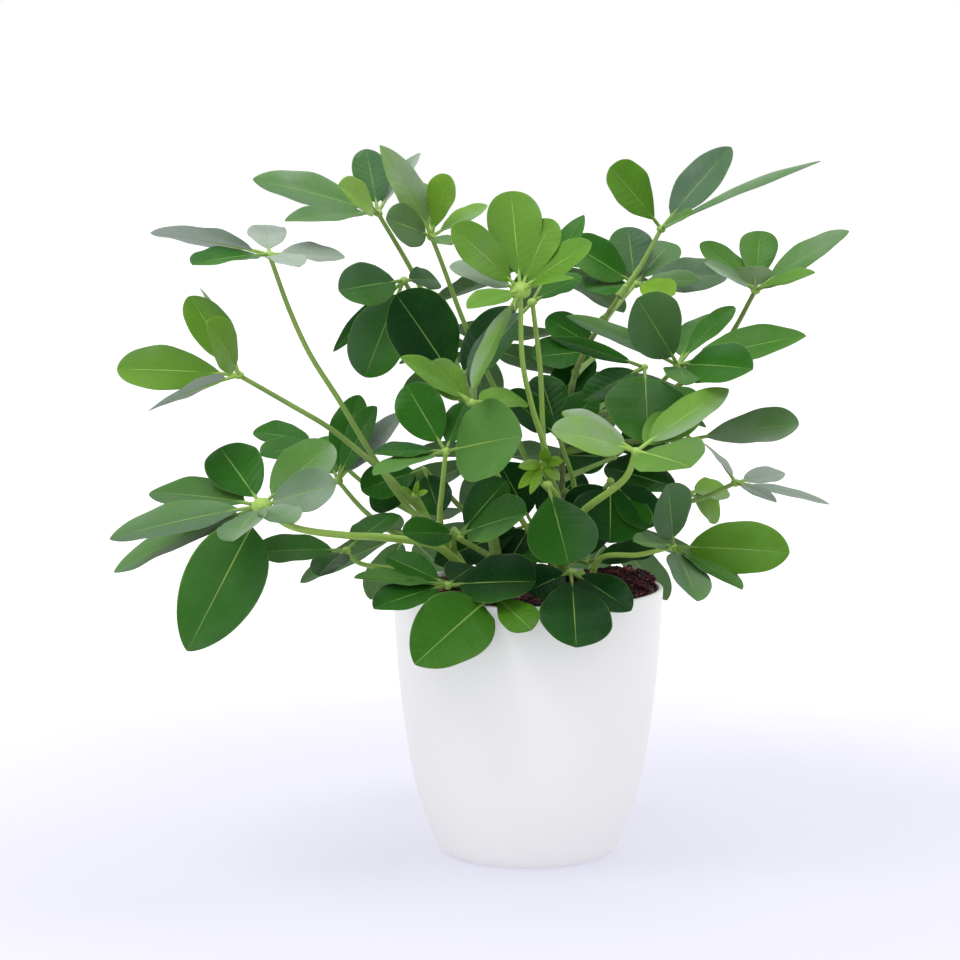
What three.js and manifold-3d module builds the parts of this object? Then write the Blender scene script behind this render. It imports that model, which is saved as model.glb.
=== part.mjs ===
// Potted umbrella plant: long-stalked compound leaves on five leafy stems, in a smooth white pot.
// Millimetres, +Z up. The origin is the middle of the pot's foot, on the surface it stands on.
// Front is -Y, right is +X.

import * as THREE from 'three';
import { mergeVertices } from 'three/addons/utils/BufferGeometryUtils.js';
import Module from 'manifold-3d';

const wasm = await Module();
wasm.setup();

// Cover pot
const POT_HEIGHT = 137.5;
const POT_RIM_RADIUS = 69.2;
const POT_WALL = 2.6;
const POT_FLOOR = 4;
const POT_FOOT_RADIUS = 40;
const POT_SIDES = 36;
const POT_WALL_STEPS = 10;
// The outside of the wall, [radius, height], from the rounded foot to the rim.
const POT_OUTSIDE = [[40, 0], [45.6, 2.4], [50.2, 12], [58.8, 40], [64.2, 74], [67.6, 108], [69.2, 137]];

// Grow pot inside it
const GROW_FOOT_RADIUS = 40;
const GROW_TOP_RADIUS = 63;
const GROW_TOP = 136;
const GROW_WALL = 1.4;
const GROW_RIM_WIDTH = 2;
const GROW_RIM_HEIGHT = 6;
const GROW_SIDES = 24;
const DRAIN_HOLES = 6;
const DRAIN_RADIUS = 4;
const DRAIN_RING_RADIUS = 26;

// Soil
const SOIL_TOP = 133.5;
const SOIL_RINGS = 6;
const SOIL_SIDES = GROW_SIDES;
const SOIL_LUMP = 2.2;
// The heap at the right: its height, its middle and how far it spreads.
const HEAP = 8;
const HEAP_PLACE = [52, 22];
const HEAP_SPREAD = 27;

// Where one piece meets another without growing from it
const GAP = 0.3;

// Leaves
const BLADE_THICKNESS = 1.3;
// How far along a leaflet its sections stand; a short leaflet has fewer.
const LONG_SECTIONS = [0, 0.14, 0.4, 0.7, 0.92];
const SHORT_SECTIONS = [0, 0.14, 0.48, 0.84];
const SHORT_LEAFLET = 42;
const STALKLET_RADIUS = 1;
const STALKLET_SHARE = 0.14;
const HUB_RADIUS = 3.1;
const STALK_TIP_RADIUS = 1.25;
const STALK_SIDES = 4;
const STEM_SIDES = 6;
const SHEATH_RADIUS = 2.1;

// The plant was measured from the front. A row gives each point as [across, up, depth]: where it
// shows on the upright plane through the pot's axis, and how far behind that plane it is. The eye
// of that front view brings it to its true place.
const EYE = new THREE.Vector3(-24.5, -1350, 341.5);

// Stems, from inside the soil to the tip, with the radius at the foot and at the tip
const STEMS = {
  left: {
    path: [[-22, 96, -4], [-25, 130, -6], [-35, 150, -9], [-49, 168, -11], [-58, 184, -12]],
    radii: [3.4, 2.2],
    tuft: [[-65, 189, -17, 3], [-56, 192, -20, 3], [-51, 187, -16, 3]],
  },
  centre: {
    path: [[15, 96, 2], [15, 130, 0], [18, 160, -6], [15, 182, -14], [8, 201, -19]],
    radii: [3.4, 2.3],
    tuft: [
      [-5, 188, -38, 6], [1, 185, -40, 5], [-5, 199, -36, 6],
      [18, 202, -34, 6], [9, 209, -30, 6], [16, 192, -38, 6],
    ],
  },
  right: {
    path: [[22, 96, 27], [19, 135, 26], [17, 175, 24], [18, 210, 22], [25, 250, 22], [49, 291, 28]],
    radii: [2.6, 1.2],
  },
  back: {
    path: [[-12, 96, 30], [-14, 135, 31], [-20, 175, 33], [-28, 215, 34], [-34, 248, 34]],
    radii: [3.6, 2.2],
  },
  low: {
    path: [[36, 96, -14], [34, 128, -16], [27, 144, -20]],
    radii: [2.8, 2.2],
  },
};

// Leaves. A tip is [across, up, depth, width, roll in degrees].
const LEAVES = [
  {
    name: 'leaf_upper_left', stem: 'left', at: 0.815, hub: [-131, 307, -20],
    via: [[-58, 175, -7], [-67, 186, -9], [-80, 206, -15], [-96, 233, -24], [-111, 257, -24], [-121, 279, -22]],
    face: [0, 0, 1],
    tips: [[-191, 318, -35, 25, 22], [-170, 302, -62, 24, -14], [-133, 322, 30, 20], [-93, 306, -5, 20, 26],
      [-116, 301, -58, 18, 7]],
  },
  {
    name: 'leaf_left', stem: 'left', at: 0.92, hub: [-147, 246, -45],
    via: [[-64, 186, -23], [-70, 193, -27], [-79, 201, -28], [-101, 219, -36], [-121, 231, -41]],
    face: [0, -0.6, 0.8],
    tips: [[-209, 249, -55, 26, -17], [-193, 228, -80, 16, 65], [-172, 286, -30, 22],
      [-163, 273, -90, 22, -79], [-166, 290, -5, 20, 64]],
    feet: [0.9, 0.5],
  },
  {
    name: 'leaf_mid_left', stem: 'left', at: 0.78, hub: [-97, 192, 15],
    via: [[-58, 162, 0], [-70, 166, 4], [-84, 177, 10]],
    face: [-0.2, -0.5, 0.8],
    tips: [[-86, 236, 25, 22], [-77, 230, 0, 20, 14], [-63, 227, 2, 16, 17], [-106, 214, 40, 20]],
  },
  {
    name: 'leaf_left_behind', stem: 'back', at: 0.36, hub: [-106, 211, 55],
    via: [[-45, 168, 42], [-80, 188, 50]],
    face: [-0.2, 0, 1],
    tips: [[-140, 217, 60, 22, -25], [-136, 205, 35, 20, -32], [-85, 216, 85, 22]],
  },
  {
    name: 'leaf_lower_left', stem: 'left', at: 0.545, hub: [-136, 179, -75], girth: 1.35,
    via: [[-46, 158, -22], [-75, 163, -42], [-93, 164, -55], [-122, 169, -71]],
    face: [0, -0.35, 0.94],
    tips: [[-214, 162, -85, 26, -8], [-193, 186, -45, 27, -7], [-212, 145, -62, 30, -3],
      [-157, 209, -40, 28, -19], [-100, 211, -55, 26, 21], [-98, 190, -85, 24, 36],
      [-151, 161, -118, 24, 20], [-175, 104, -108, 38, -34], [-120, 170, -112, 20, 3]],
    feet: [0.72, 0.72, 0.72, 0.72, 0.72, 0.72, 0.72, 0.55],
  },
  {
    name: 'leaf_left_below', stem: 'left', at: 0.42, hub: [-93, 156, -35],
    via: [[-41, 139, -14], [-65, 146, -26], [-87, 150, -33]],
    face: [0, -0.2, 1],
    tips: [[-140, 155, -42, 23, -20], [-107, 143, -72, 18], [-68, 175, 5, 20]],
  },
  {
    name: 'leaf_low_left', stem: 'left', at: 0.5, hub: [-41, 138, -50],
    via: [[-34, 142, -28]],
    face: [0, -0.25, 0.97],
    tips: [[-89, 142, -75, 18, -5], [-79, 126, -92, 22, -15], [-73, 153, -45, 22, -7],
      [4, 140, -66, 36, 22], [-28, 148, -24, 20, 10]],
  },
  {
    name: 'leaf_front_low', stem: 'left', at: 0.455, hub: [-18, 133, -60],
    via: [[-20, 143, -28]],
    face: [0.2, -0.7, 0.7],
    tips: [[-58, 97, -100, 37, -5], [2, 115, -86, 19, 14]],
    feet: [0.5, 1],
  },
  {
    name: 'leaf_front_centre', stem: 'low', at: 0.95, hub: [22, 145, -44],
    via: [],
    face: [0.1, -0.8, 0.6],
    tips: [[25, 106, -100, 36], [53, 125, -76, 20, 6], [0, 135, -52, 22, 3]],
    feet: [0.95],
  },
  {
    name: 'leaf_centre_left', stem: 'left', at: 0.73, hub: [-42, 207, -62],
    via: [[-45, 176, -28], [-44, 186, -42]],
    face: [-0.2, -0.9, 0.4],
    tips: [[-3, 215, -95, 42], [-32, 232, -50, 14], [-62, 241, -48, 24], [-79, 206, -72, 16, 43],
      [-79, 195, -92, 18, 37]],
    feet: [0.6],
  },
  {
    name: 'leaf_centre_front', stem: 'centre', at: 0.78, hub: [10, 190, -50], girth: 1.35,
    via: [[14, 185, -34]],
    face: [0, -0.8, 0.6],
    tips: [[21, 149, -72, 35]],
    feet: [0.9],
  },
  {
    name: 'leaf_centre_pair', stem: 'left', at: 0.64, hub: [-35, 164, -48],
    via: [[-38, 167, -30]],
    face: [0, -0.8, 0.6],
    tips: [[-64, 165, -74, 18], [-1, 175, -88, 27], [-11, 192, -55, 22]],
  },
  {
    name: 'leaf_right_front', stem: 'centre', at: 0.52, hub: [55, 207, -72], girth: 1.35,
    via: [[26, 174, -36], [50, 194, -62]],
    face: [0.1, -0.5, 0.85],
    tips: [[12, 218, -95, 22, -19], [17, 227, -70, 18], [83, 199, -112, 36, 10], [102, 239, -58, 20],
      [85, 227, -35, 22]],
  },
  {
    name: 'leaf_centre_low', stem: 'right', at: 0.4, hub: [42, 192, -12],
    via: [[24, 170, 12]],
    face: [0.1, -0.8, 0.5],
    tips: [[42, 160, -28, 42, -6], [24, 169, -16, 26], [65, 169, -22, 22]],
    feet: [0.6],
  },
  {
    name: 'leaf_lower_right', stem: 'low', at: 0.8, hub: [74, 158, -55],
    via: [[37, 152, -28], [57, 154, -42]],
    face: [0.2, -0.6, 0.8],
    tips: [[134, 155, -75, 29, 26], [110, 136, -88, 18, -13], [87, 130, -105, 22, -10],
      [71, 190, -80, 25, -50], [54, 161, -82, 13]],
  },
  {
    name: 'leaf_right_small', stem: 'right', at: 0.45, hub: [106, 191, 10],
    via: [[45, 178, 24], [85, 182, 15]],
    face: [0, -0.15, 1],
    tips: [[131, 196, 35, 12, 31], [154, 180, 5, 9, 16], [127, 181, -30, 8, 16], [90, 211, 40, 12, 34]],
  },
  {
    name: 'leaf_right_behind', stem: 'right', at: 0.36, hub: [82, 186, 50],
    via: [[40, 175, 38]],
    face: [0, -0.3, 0.9],
    tips: [[102, 187, 62, 18, 19], [98, 174, 66, 18, 55], [39, 199, 62, 26, -21]],
  },
  {
    name: 'leaf_right_single', stem: 'right', at: 0.55, hub: [82, 213, -5],
    via: [[50, 212, 14]],
    face: [0, -0.5, 0.85],
    tips: [[138, 221, -25, 24, 14], [74, 240, 30, 24]],
    feet: [1],
  },
  {
    name: 'leaf_right', stem: 'right', at: 0.58, hub: [76, 251, -16],
    via: [[54, 230, 6]],
    face: [0.1, -0.5, 0.85],
    tips: [[141, 266, -35, 27, 6], [114, 249, -75, 27, 38], [104, 281, 5, 16, -16], [91, 277, 40, 20, -27],
      [55, 285, -45, 31, -71], [19, 276, -38, 15, -9], [80, 241, -58, 20]],
    feet: [0.6, 0.72, 1, 0.72, 0.8],
  },
  {
    name: 'leaf_right_inner', stem: 'right', at: 0.68, hub: [59, 250, 2],
    via: [[38, 240, 14]],
    face: [0, -0.8, 0.6],
    tips: [[61, 211, -45, 44, -7], [28, 233, -22, 18], [11, 265, -12, 10]],
  },
  {
    name: 'leaf_top_right', stem: 'right', at: 0.97, hub: [67, 320, 35],
    via: [[56, 300, 31]],
    face: [0, -0.5, 0.85],
    tips: [[41, 351, 25, 28, -20], [102, 361, 45, 22, 10], [147, 354, 20, 10, -4], [83, 328, 5, 12, 31]],
    feet: [0.95, 0.72],
  },
  {
    name: 'leaf_upper_right', stem: 'right', at: 0.62, hub: [115, 289, 15],
    via: [[75, 240, 36], [100, 263, 26]],
    face: [0, -0.3, 0.95],
    tips: [[87, 313, 25, 19, -10], [117, 319, 30, 20], [162, 319, 5, 20, 18], [145, 298, -20, 12, 30],
      [114, 301, -30, 18], [89, 303, 0, 12, -26]],
    feet: [0.72, 0.95],
  },
  {
    name: 'leaf_top_behind_right', stem: 'right', at: 0.9, hub: [54, 292, 62],
    via: [],
    face: [0, -0.5, 0.85],
    tips: [[50, 321, 75, 24], [72, 313, 88, 24], [87, 294, 38, 15, 14], [101, 297, 60, 26, 12],
      [20, 313, 55, 26, -25], [74, 287, 30, 16, 24], [29, 290, 48, 24]],
    feet: [0.72, 0.72, 0.72, 0.72, 0.72, 0.9],
  },
  {
    name: 'leaf_top_left', stem: 'back', at: 0.97, hub: [-76, 328, 30],
    via: [[-45, 270, 36], [-59, 299, 38]],
    face: [0, -0.25, 0.95],
    tips: [[-139, 345, 20, 25, -27], [-123, 324, -15, 17, -16], [-96, 342, -30, 19, -70],
      [-82, 360, 50, 20], [-55, 358, 60, 18, -22]],
  },
  {
    name: 'leaf_top', stem: 'centre', at: 0.84, hub: [-49, 316, -5],
    via: [[3, 196, -2], [-12, 229, 2], [-31, 269, 0], [-45, 306, -4]],
    face: [0, -0.4, 0.9],
    tips: [[-75, 362, -20, 22, -24], [-40, 347, -15, 19, 23], [-72, 325, -40, 22, -63], [-53, 343, 25, 14],
      [-39, 312, -32, 15], [-21, 332, 5, 13, 5]],
    feet: [0.5, 0.95, 0.72, 0.72, 0.72, 0.9],
  },
  {
    name: 'leaf_top_centre', stem: 'centre', at: 0.93, hub: [-4, 289, -55],
    via: [[9, 207, -10], [2, 230, -30], [-3, 254, -46]],
    face: [0, -0.6, 0.8],
    tips: [[-9, 339, -45, 27], [-39, 321, -75, 22, -26], [12, 325, -50, 20], [32, 313, -65, 20, 7],
      [23, 295, -95, 10], [-31, 280, -100, 14, -5], [-28, 239, -85, 18, 41], [-40, 301, -62, 18, 3]],
    feet: [0.9, 0.9, 0.85, 0.7, 0.7, 0.8],
  },
  {
    name: 'leaf_top_behind', stem: 'centre', at: 0.72, hub: [2, 283, -22],
    via: [[9, 202, -6], [6, 250, -10]],
    face: [0, -0.5, 0.85],
    tips: [[27, 296, -20, 16], [28, 327, 15, 14], [-30, 245, -30, 20]],
  },
  {
    name: 'leaf_centre_right', stem: 'right', at: 0.75, hub: [37, 258, 52],
    via: [],
    face: [-0.2, -0.7, 0.7],
    tips: [[2, 255, 40, 24], [9, 275, 55, 20], [14, 234, 42, 24]],
  },
  {
    name: 'leaf_upper_centre_left', stem: 'back', at: 0.86, hub: [-63, 294, 5],
    via: [[-48, 268, 22]],
    face: [-0.3, -0.7, 0.7],
    tips: [[-96, 289, -25, 24, -41], [-46, 294, 28, 16, 32], [-83, 245, -12, 31, -16],
      [-99, 258, 20, 11, -13]],
  },
  {
    name: 'leaf_centre_dark_left', stem: 'back', at: 0.72, hub: [-36, 241, -18],
    via: [[-32, 225, 8]],
    face: [0, -0.8, 0.6],
    tips: [[-67, 287, -38, 38, -5], [-9, 281, 5, 23, -9]],
  },
  {
    name: 'leaf_centre_bright', stem: 'centre', at: 0.43, hub: [-29, 232, -60],
    via: [[-5, 175, -22], [-20, 205, -40]],
    face: [-0.2, -0.7, 0.7],
    tips: [[-65, 255, -85, 16], [-51, 251, -68, 20], [-2, 233, -34, 20]],
  },
  {
    name: 'leaf_centre_dark', stem: 'centre', at: 0.6, hub: [16, 214, 8],
    via: [[24, 185, 4]],
    face: [0, -0.7, 0.7],
    tips: [[-12, 236, 0, 22], [6, 246, 28, 22], [34, 236, 10, 20]],
  },
  {
    name: 'leaf_left_inner', stem: 'back', at: 0.42, hub: [-53, 198, 24],
    via: [],
    face: [-0.2, -0.8, 0.5],
    tips: [[-85, 187, 12, 22], [-80, 178, 26, 20], [-45, 175, 10, 20]],
  },
  {
    name: 'leaf_centre_behind', stem: 'right', at: 0.3, hub: [30, 150, 2],
    via: [],
    face: [0, -0.4, 0.9],
    tips: [[66, 156, -6, 24], [-2, 154, 26, 26], [36, 174, 32, 20]],
  },
  {
    name: 'leaf_deep_right', stem: 'right', at: 0.48, hub: [44, 204, 50],
    via: [],
    face: [0, -0.8, 0.5],
    tips: [[18, 205, 42, 24], [70, 222, 58, 24]],
  },
  {
    name: 'leaf_deep_low', stem: 'right', at: 0.33, hub: [2, 170, 48],
    via: [],
    face: [0, -0.8, 0.5],
    tips: [[-48, 150, 53, 22], [-14, 200, 54, 28], [28, 196, 54, 28], [-12, 146, 44, 28]],
  },
];

// Leaves on the far side: each has its leaflets in a fan round the hub.
const BACK_LEAVES = [
  { name: 'leaf_back_left', stem: 'back', at: 0.8, hub: [-26, 262, 108], face: [-0.2, 0.5, 0.85], turn: 30 },
  { name: 'leaf_back_top', stem: 'back', at: 0.9, hub: [6, 304, 104], face: [0, 0.3, 0.95], turn: 40 },
  { name: 'leaf_back_right', stem: 'right', at: 0.6, hub: [48, 238, 122], face: [0.2, 0.5, 0.85], turn: 55 },
  { name: 'leaf_back_centre', stem: 'back', at: 0.5, hub: [-22, 205, 128], face: [0, 0.6, 0.8], turn: 35 },
  { name: 'leaf_back_low_right', stem: 'right', at: 0.25, hub: [42, 165, 98], face: [0.1, 0.6, 0.8], turn: 50 },
  { name: 'leaf_back_low_left', stem: 'back', at: 0.32, hub: [-62, 165, 99], face: [-0.2, 0.6, 0.8], turn: 0 },
];
const FAN_COUNT = 6;
const FAN_LENGTH = 56;
const FAN_WIDTH = 0.44;
const FAN_DROOP = 0.3;

const YOUNG_GREEN = 0x7fb33f;
const LEAF_GREEN = 0x3f7d33;
const STEM_GREEN = 0x6f8f3c;
const SOIL_BROWN = 0x3a2420;
const GROW_POT_BROWN = 0x8a4630;
const POT_WHITE = 0xf4f4f2;

const YOUNG_LEAVES = ['leaf_left', 'leaf_right_front', 'leaf_top', 'leaf_top_centre', 'leaf_centre_bright'];

/** The true place of a point that was measured as [across, up, depth]. */
function seen([across, up, depth]) {
  const nearness = 1 + depth / -EYE.y;
  return new THREE.Vector3(
    EYE.x + (across - EYE.x) * nearness,
    depth,
    EYE.z + (up - EYE.z) * nearness,
  );
}

/** A manifold solid from a three.js geometry that is closed. */
function solidOf(geometry) {
  const plain = geometry.clone();
  plain.deleteAttribute('normal');
  plain.deleteAttribute('uv');
  const merged = mergeVertices(plain, 1e-5);
  return new wasm.Manifold(new wasm.Mesh({
    numProp: 3,
    vertProperties: new Float32Array(merged.attributes.position.array),
    triVerts: new Uint32Array(merged.index.array),
  }));
}

/** A three.js geometry from a manifold solid. */
function geometryOf(solid) {
  const mesh = solid.getMesh();
  const geometry = new THREE.BufferGeometry();
  geometry.setAttribute('position', new THREE.BufferAttribute(new Float32Array(mesh.vertProperties), 3));
  geometry.setIndex(new THREE.BufferAttribute(new Uint32Array(mesh.triVerts), 1));
  geometry.computeVertexNormals();
  return geometry;
}

/**
 * A closed solid through a row of rings with equal numbers of points. The last ring may be a single
 * point. Each quad is split from its even-numbered corner, so a thin blade's two faces split alike.
 */
function loft(rings) {
  const points = rings.flat();
  const faces = [];
  const around = rings[0].length;
  for (let ring = 0; ring < rings.length - 1; ring++) {
    const here = ring * around;
    const next = here + around;
    for (let side = 0; side < around; side++) {
      const other = (side + 1) % around;
      if (rings[ring + 1].length === 1) {
        faces.push([here + side, here + other, next]);
      } else if (side % 2 === 0) {
        faces.push([here + side, here + other, next + other], [here + side, next + other, next + side]);
      } else {
        faces.push([here + side, here + other, next + side], [here + other, next + other, next + side]);
      }
    }
  }
  for (let side = 1; side < around - 1; side++) {
    faces.push([0, side + 1, side]);
  }
  const lastRing = rings[rings.length - 1];
  if (lastRing.length > 1) {
    const last = (rings.length - 1) * around;
    for (let side = 1; side < around - 1; side++) {
      faces.push([last, last + side, last + side + 1]);
    }
  }
  const geometry = new THREE.BufferGeometry();
  geometry.setFromPoints(points);
  geometry.setIndex(faces.flat());
  return solidOf(geometry);
}

/** A round tube along a smooth curve, with its radius given by a function of the share of its length. */
function tube(curve, radiusAt, sides, steps) {
  const rings = [];
  let across = new THREE.Vector3(0, 1, 0);
  for (let step = 0; step <= steps; step++) {
    const share = step / steps;
    const middle = curve.getPointAt(share);
    const along = curve.getTangentAt(share);
    across = across.clone().addScaledVector(along, -across.dot(along)).normalize();
    const upward = new THREE.Vector3().crossVectors(along, across);
    const ring = [];
    for (let side = 0; side < sides; side++) {
      const angle = (2 * Math.PI * side) / sides;
      ring.push(middle.clone()
        .addScaledVector(across, radiusAt(share) * Math.cos(angle))
        .addScaledVector(upward, radiusAt(share) * Math.sin(angle)));
    }
    rings.push(ring);
  }
  return loft(rings);
}

/**
 * Half the width of a blade, at a share of the way from its foot to its tip. A slim blade has a
 * sharper tip; a low foot power gives a broad base and a high one a blade that widens to its end.
 */
function bladeHalfWidth(share, width, length, foot) {
  const slimness = 1 - THREE.MathUtils.smoothstep(width / length, 0.25, 0.6);
  const point = (0.54 + 0.22 * slimness) * Math.sqrt(0.72 / foot);
  const shape = (at) => at ** foot * (1 - at) ** point;
  return (width / 2) * shape(share) / shape(foot / (foot + point));
}

/** One leaflet: a thin arched blade, folded a little along its midrib, on a short stalk from the hub. */
function leaflet(hub, tip, width, face, roll = 0, foot = 0.72) {
  const span = tip.clone().sub(hub);
  const length = span.length();
  const along = span.clone().normalize();
  const normal = face.clone().addScaledVector(along, -face.dot(along)).normalize();
  normal.applyAxisAngle(along, THREE.MathUtils.degToRad(roll));
  const side = new THREE.Vector3().crossVectors(along, normal);
  const arch = 0.025 * length;
  const foldRise = 0.16;
  const rings = [];
  for (const share of length < SHORT_LEAFLET ? SHORT_SECTIONS : LONG_SECTIONS) {
    const middle = hub.clone().addScaledVector(span, share)
      .addScaledVector(normal, 4 * arch * share * (1 - share));
    const bladeShare = Math.max(0, (share - STALKLET_SHARE) / (1 - STALKLET_SHARE));
    const half = Math.max(STALKLET_RADIUS, bladeHalfWidth(bladeShare, width, length, foot));
    const lift = bladeShare > 0 ? half * foldRise : 0;
    const thick = bladeShare > 0 ? BLADE_THICKNESS / 2 : STALKLET_RADIUS;
    rings.push([
      middle.clone().addScaledVector(side, -half).addScaledVector(normal, lift),
      middle.clone().addScaledVector(normal, thick),
      middle.clone().addScaledVector(side, half).addScaledVector(normal, lift),
      middle.clone().addScaledVector(normal, -thick),
    ]);
  }
  rings.push([tip.clone()]);
  return loft(rings);
}

/** A small ball where the leaflets' stalks meet. */
function hubBall(place) {
  const ball = solidOf(new THREE.IcosahedronGeometry(HUB_RADIUS, 0));
  return ball.translate(place.x, place.y, place.z);
}

/** The curve of a stem. */
function stemCurve(stem) {
  return new THREE.CatmullRomCurve3(stem.path.map(seen), false, 'centripetal');
}

/** The round solid of a stem, made fatter by an allowance where it is used to cut its seats. */
function stemSolid(stem, allowance = 0) {
  const curve = stemCurve(stem);
  const [foot, top] = stem.radii;
  const steps = Math.ceil(curve.getLength() / 14);
  return tube(curve, (share) => foot + (top - foot) * share + allowance, STEM_SIDES, steps);
}

/** The long stalk of a leaf, from inside its stem to its hub, flared to a sheath at its foot. */
function stalk(start, via, hub, girth) {
  const curve = new THREE.CatmullRomCurve3([start, ...via, hub], false, 'centripetal');
  const radiusAt = (share) => girth * (STALK_TIP_RADIUS + 0.45 * (1 - share))
    + (SHEATH_RADIUS - STALK_TIP_RADIUS) * Math.exp(-share * curve.getLength() / 6);
  const steps = Math.max(3, Math.ceil(curve.getLength() / 26));
  return tube(curve, radiusAt, STALK_SIDES, steps);
}

/** The leaflets of a leaf as true places: [tip, width, roll]. */
function leafletsOf(leaf, hub, face) {
  if (leaf.tips) {
    return leaf.tips.map(([across, up, depth, width, roll]) => [seen([across, up, depth]), width, roll]);
  }
  const level = new THREE.Vector3(1, 0, 0);
  const first = level.addScaledVector(face, -level.dot(face)).normalize();
  return Array.from({ length: FAN_COUNT }, (_, index) => {
    const angle = THREE.MathUtils.degToRad(leaf.turn) + (2 * Math.PI * index) / FAN_COUNT;
    const length = FAN_LENGTH * (1 + 0.14 * Math.sin(2.4 * index + leaf.turn));
    const tip = hub.clone()
      .addScaledVector(first.clone().applyAxisAngle(face, angle), length)
      .addScaledVector(face, -FAN_DROOP * length);
    return [tip, FAN_WIDTH * length, 0];
  });
}

/** A whole leaf: its stalk, hub and leaflets as one solid, seated on its stem. */
function leafSolid(leaf) {
  const stem = STEMS[leaf.stem];
  const start = stemCurve(stem).getPointAt(leaf.at);
  const hub = seen(leaf.hub);
  const face = new THREE.Vector3(...leaf.face).normalize();
  const pieces = leafletsOf(leaf, hub, face)
    .map(([tip, width, roll], index) => leaflet(hub, tip, width, face, roll, leaf.feet?.[index]));
  pieces.push(stalk(start, (leaf.via ?? []).map(seen), hub, leaf.girth ?? 1), hubBall(hub));
  const whole = pieces.reduce((sum, piece) => sum.add(piece));
  return largestBody(whole.subtract(stemSolid(stem, GAP)));
}

/** The largest separate body of a solid; scraps that a cut leaves are dropped. */
function largestBody(solid) {
  return solid.decompose().reduce((best, body) => (body.volume() > best.volume() ? body : best));
}

/** A stem with the tuft of young leaves at its tip, if it has one. */
function stemWithTuft(stem) {
  const tip = seen(stem.path.at(-1));
  const face = new THREE.Vector3(0, -1, 0.3).normalize();
  return (stem.tuft ?? [])
    .map(([across, up, depth, width]) => leaflet(tip, seen([across, up, depth]), width, face))
    .reduce((sum, piece) => sum.add(piece), stemSolid(stem));
}

/** Height of the soil's lumpy top at a place. */
function soilHeight(x, y) {
  const lumps = Math.sin(0.31 * x + 0.9) * Math.cos(0.27 * y) + 0.7 * Math.sin(0.53 * y - 0.21 * x);
  const away = Math.hypot(x - HEAP_PLACE[0], y - HEAP_PLACE[1]);
  const heap = HEAP * Math.exp(-0.5 * (away / HEAP_SPREAD) ** 2);
  return SOIL_TOP + SOIL_LUMP * lumps * 0.6 + 0.02 * x + heap;
}

/** Radius inside the grow pot's wall at a height. */
function growInside(height) {
  const share = (height - POT_FLOOR) / (GROW_TOP - POT_FLOOR);
  return GROW_FOOT_RADIUS + (GROW_TOP_RADIUS - GROW_FOOT_RADIUS) * share - GROW_WALL;
}

/** The cover pot: a smooth shell with a rounded foot and a rounded rim. */
function coverPotSolid() {
  const wall = new THREE.SplineCurve(POT_OUTSIDE.map(([radius, height]) => new THREE.Vector2(radius, height)));
  const outside = wall.getPoints(POT_WALL_STEPS);
  const inside = outside
    .filter((point, index) => point.y > POT_FLOOR + 2 && index % 2 === 0)
    .map((point) => new THREE.Vector2(point.x - POT_WALL, Math.min(point.y, POT_HEIGHT - 0.8)))
    .reverse();
  const profile = [
    new THREE.Vector2(0, 0),
    ...outside,
    new THREE.Vector2(POT_RIM_RADIUS - POT_WALL / 2, POT_HEIGHT + 0.4),
    ...inside,
    new THREE.Vector2(POT_FOOT_RADIUS + 2, POT_FLOOR),
    new THREE.Vector2(0, POT_FLOOR),
  ];
  return solidOf(new THREE.LatheGeometry(profile, POT_SIDES).rotateX(Math.PI / 2));
}

/** The grow pot: a thin tapered pot with a rolled rim and drain holes. */
function growPotSolid() {
  const floor = POT_FLOOR + GAP;
  const profile = [
    [0, floor],
    [GROW_FOOT_RADIUS, floor],
    [GROW_TOP_RADIUS, GROW_TOP - GROW_RIM_HEIGHT],
    [GROW_TOP_RADIUS + GROW_RIM_WIDTH, GROW_TOP - GROW_RIM_HEIGHT],
    [GROW_TOP_RADIUS + GROW_RIM_WIDTH, GROW_TOP],
    [GROW_TOP_RADIUS, GROW_TOP],
    [growInside(floor + GROW_WALL), floor + GROW_WALL],
    [0, floor + GROW_WALL],
  ].map(([radius, height]) => new THREE.Vector2(radius, height));
  let pot = solidOf(new THREE.LatheGeometry(profile, GROW_SIDES).rotateX(Math.PI / 2));
  const drain = solidOf(new THREE.CylinderGeometry(DRAIN_RADIUS, DRAIN_RADIUS, 8, 8).rotateX(Math.PI / 2));
  for (let index = 0; index < DRAIN_HOLES; index++) {
    const angle = (2 * Math.PI * index) / DRAIN_HOLES;
    pot = pot.subtract(drain.translate(
      DRAIN_RING_RADIUS * Math.cos(angle), DRAIN_RING_RADIUS * Math.sin(angle), floor,
    ));
  }
  return pot;
}

/** The soil: a tapered root ball with a lumpy top and a plain hole for each stem. */
function soilSolid() {
  const bottom = POT_FLOOR + GAP + GROW_WALL + GAP;
  const ringAt = (radius, heightAt) => Array.from({ length: SOIL_SIDES }, (_, index) => {
    const angle = (2 * Math.PI * index) / SOIL_SIDES;
    const x = radius * Math.cos(angle);
    const y = radius * Math.sin(angle);
    return new THREE.Vector3(x, y, heightAt(x, y));
  });
  const rings = [ringAt(growInside(bottom) - GAP, () => bottom)];
  for (let ring = 0; ring < SOIL_RINGS; ring++) {
    const share = 1 - ring / SOIL_RINGS;
    rings.push(ringAt((growInside(SOIL_TOP - 4) - GAP) * share, soilHeight));
  }
  rings.push([new THREE.Vector3(0, 0, soilHeight(0, 0))]);
  let soil = loft(rings);
  for (const stem of Object.values(STEMS)) {
    soil = soil.subtract(stemSolid(stem, GAP));
  }
  return soil;
}

const plant = new THREE.Group();

/** Adds a solid to the group as a named mesh. */
function add(name, solid, color, roughness = 0.5) {
  const mesh = new THREE.Mesh(geometryOf(solid), new THREE.MeshStandardMaterial({ color, roughness, metalness: 0 }));
  mesh.name = name;
  plant.add(mesh);
}

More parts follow.
